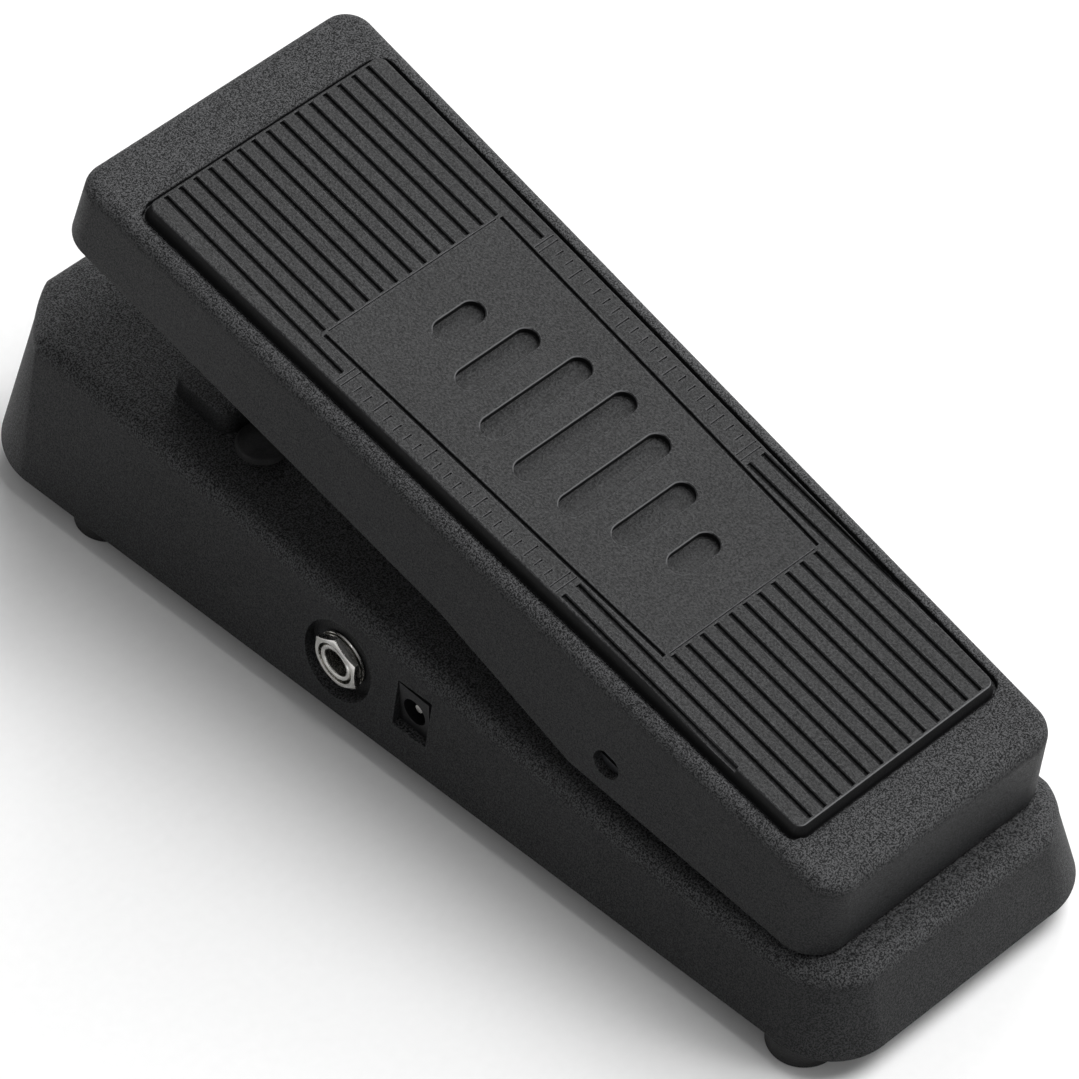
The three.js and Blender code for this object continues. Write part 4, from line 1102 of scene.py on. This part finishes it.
def rounded_disc(radius_low, radius_high, low, high, edge, recess=None):
    """A turned rubber disc with rounded edges, with a round recess and hole from below if asked."""
    profile = []
    steps = 6
    for i in range(steps + 1):
        angle = (math.pi / 2) * i / steps
        profile.append((radius_low - edge * (1 - math.sin(angle)), low + edge * (1 - math.cos(angle))))
    for i in range(steps + 1):
        angle = (math.pi / 2) * i / steps
        profile.append((radius_high - edge * (1 - math.cos(angle)), high - edge * (1 - math.sin(angle))))
    if recess is None:
        return turned([(0, low), *profile, (0, high)])
    recess_radius, recess_top, hole = recess
    inside = [(hole, high), (hole, recess_top), (recess_radius, recess_top), (recess_radius, low)]
    return ring([*profile, *inside])


def rubber_parts():
    for place in FOOT_PLACES:
        low, high = (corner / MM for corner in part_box(f"foot_{place}"))
        middle = (low + high) / 2
        foot = rounded_disc(FOOT["tip"], FOOT["radius"], low.z, high.z, FOOT["edge"], FOOT["recess"])
        shape = loose(placed(foot, middle.x, middle.y))
        finish_piece(
            shape, f"rubber_foot_{place}", f"foot_{place}", "base", MATERIALS["black_rubber"]
        )
    for end in ("toe", "heel"):
        for place in ("left", "right"):
            node = f"{end}_bumper_{place}"
            low, high = (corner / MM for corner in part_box(node))
            middle = (low + high) / 2
            disc = rounded_disc(BUMPER["radius"], BUMPER["top_radius"], low.z, high.z, BUMPER["edge"])
            shape = loose(placed(disc, middle.x, middle.y))
            finish_piece(
                shape, f"{end}_stop_{place}", node, "base", MATERIALS["black_rubber"]
            )


# ---- CAD nodes that keep their own shape --------------------------------------------------------


def dress_cad_nodes():
    """Gives every CAD node its slot's material, a small bevel and smooth shading."""
    slots = {row["node"]: row["material_slot"] for row in frame["record"]["subparts"]}
    for node, shape in frame["nodes"].items():
        if shape.hide_render:
            continue
        shape.data.materials.clear()
        shape.data.materials.append(MATERIALS[slots[node]])
        edge = shape.modifiers.new("edge", "BEVEL")
        edge.width = CAD_EDGE * MM
        edge.segments = 2
        edge.limit_method = "ANGLE"
        edge.angle_limit = math.radians(50)
        normals = shape.modifiers.new("weighted_normals", "WEIGHTED_NORMAL")
        normals.weight = 100


# ---- Studio -------------------------------------------------------------------------------------


def studio_floor():
    """A plain pale floor that curves up into a backdrop."""
    bm = bmesh.new()
    width, front, back, radius, steps = 6.0, -4.0, 3.0, 1.2, 16
    profile = [(front, 0.0)]
    for i in range(steps + 1):
        angle = (math.pi / 2) * i / steps
        profile.append((back - radius + radius * math.sin(angle), radius * (1 - math.cos(angle))))
    profile.append((back, 5.0))
    left = [bm.verts.new((-width, y, z)) for y, z in profile]
    right = [bm.verts.new((width, y, z)) for y, z in profile]
    for i in range(len(profile) - 1):
        bm.faces.new((left[i], right[i], right[i + 1], left[i + 1]))
    mesh = bpy.data.meshes.new("studio_floor")
    bm.to_mesh(mesh)
    bm.free()
    floor = bpy.data.objects.new("studio_floor", mesh)
    bpy.context.scene.collection.objects.link(floor)
    for polygon in mesh.polygons:
        polygon.use_smooth = True
    paper = Nodes("backdrop_paper")
    fibre = paper.noise(2.5, detail=3)
    colour = paper.tint(fibre, (0.86, 0.86, 0.86), (0.9, 0.9, 0.9))
    paper.bump(fibre, 0.05, 0.2)
    mesh.materials.append(paper.finish(colour, paper.range(fibre, 0.3, 0.7, 0.75, 0.85)))


def area_light(name, location, target, size, power):
    data = bpy.data.lights.new(name, "AREA")
    data.shape = "RECTANGLE"
    data.size, data.size_y = size
    data.energy = power
    light = bpy.data.objects.new(name, data)
    bpy.context.scene.collection.objects.link(light)
    light.location = location
    light.rotation_euler = (Vector(target) - Vector(location)).to_track_quat("-Z", "Y").to_euler()


def studio_light():
    world = bpy.data.worlds.new("studio")
    world.use_nodes = True
    world.node_tree.nodes["Background"].inputs["Color"].default_value = (1, 1, 1, 1)
    world.node_tree.nodes["Background"].inputs["Strength"].default_value = 0.28
    bpy.context.scene.world = world
    bpy.context.scene.view_settings.view_transform = "Standard"
    middle = (0, 0, 0.05)
    area_light("key", (0.72, -0.4, 1.7), middle, (1.2, 1.2), 36)
    area_light("side", (1.2, 0.8, 1.0), middle, (0.7, 0.7), 12)
    area_light("heel", (0.8, -1.5, 0.7), middle, (0.4, 0.4), 3)


def camera():
    """A long lens that looks down on the pedal from its heel end's left."""
    azimuth, elevation = math.radians(-43.34), math.radians(48.11)
    distance = 1.3535  # metres, from the point it is aimed at
    aim = Vector((0.0104, 0.0099, 0.0188))
    flat = math.cos(elevation)
    back = Vector((math.sin(azimuth) * flat, -math.cos(azimuth) * flat, math.sin(elevation)))
    data = bpy.data.cameras.new("camera")
    data.lens = 216.87
    data.sensor_width = 36
    made = bpy.data.objects.new("camera", data)
    bpy.context.scene.collection.objects.link(made)
    made.location = aim + back * distance
    made.rotation_euler = (-back).to_track_quat("-Z", "Y").to_euler()
    bpy.context.scene.camera = made


# ---- Build --------------------------------------------------------------------------------------

base_housing()
treadle_casting()
treadle_mat()
for socket, side in (("output", -1), ("input", 1)):
    jack_hardware(socket, side)
    jack_body(socket, side)
rubber_parts()
dress_cad_nodes()
studio_floor()
studio_light()
camera()
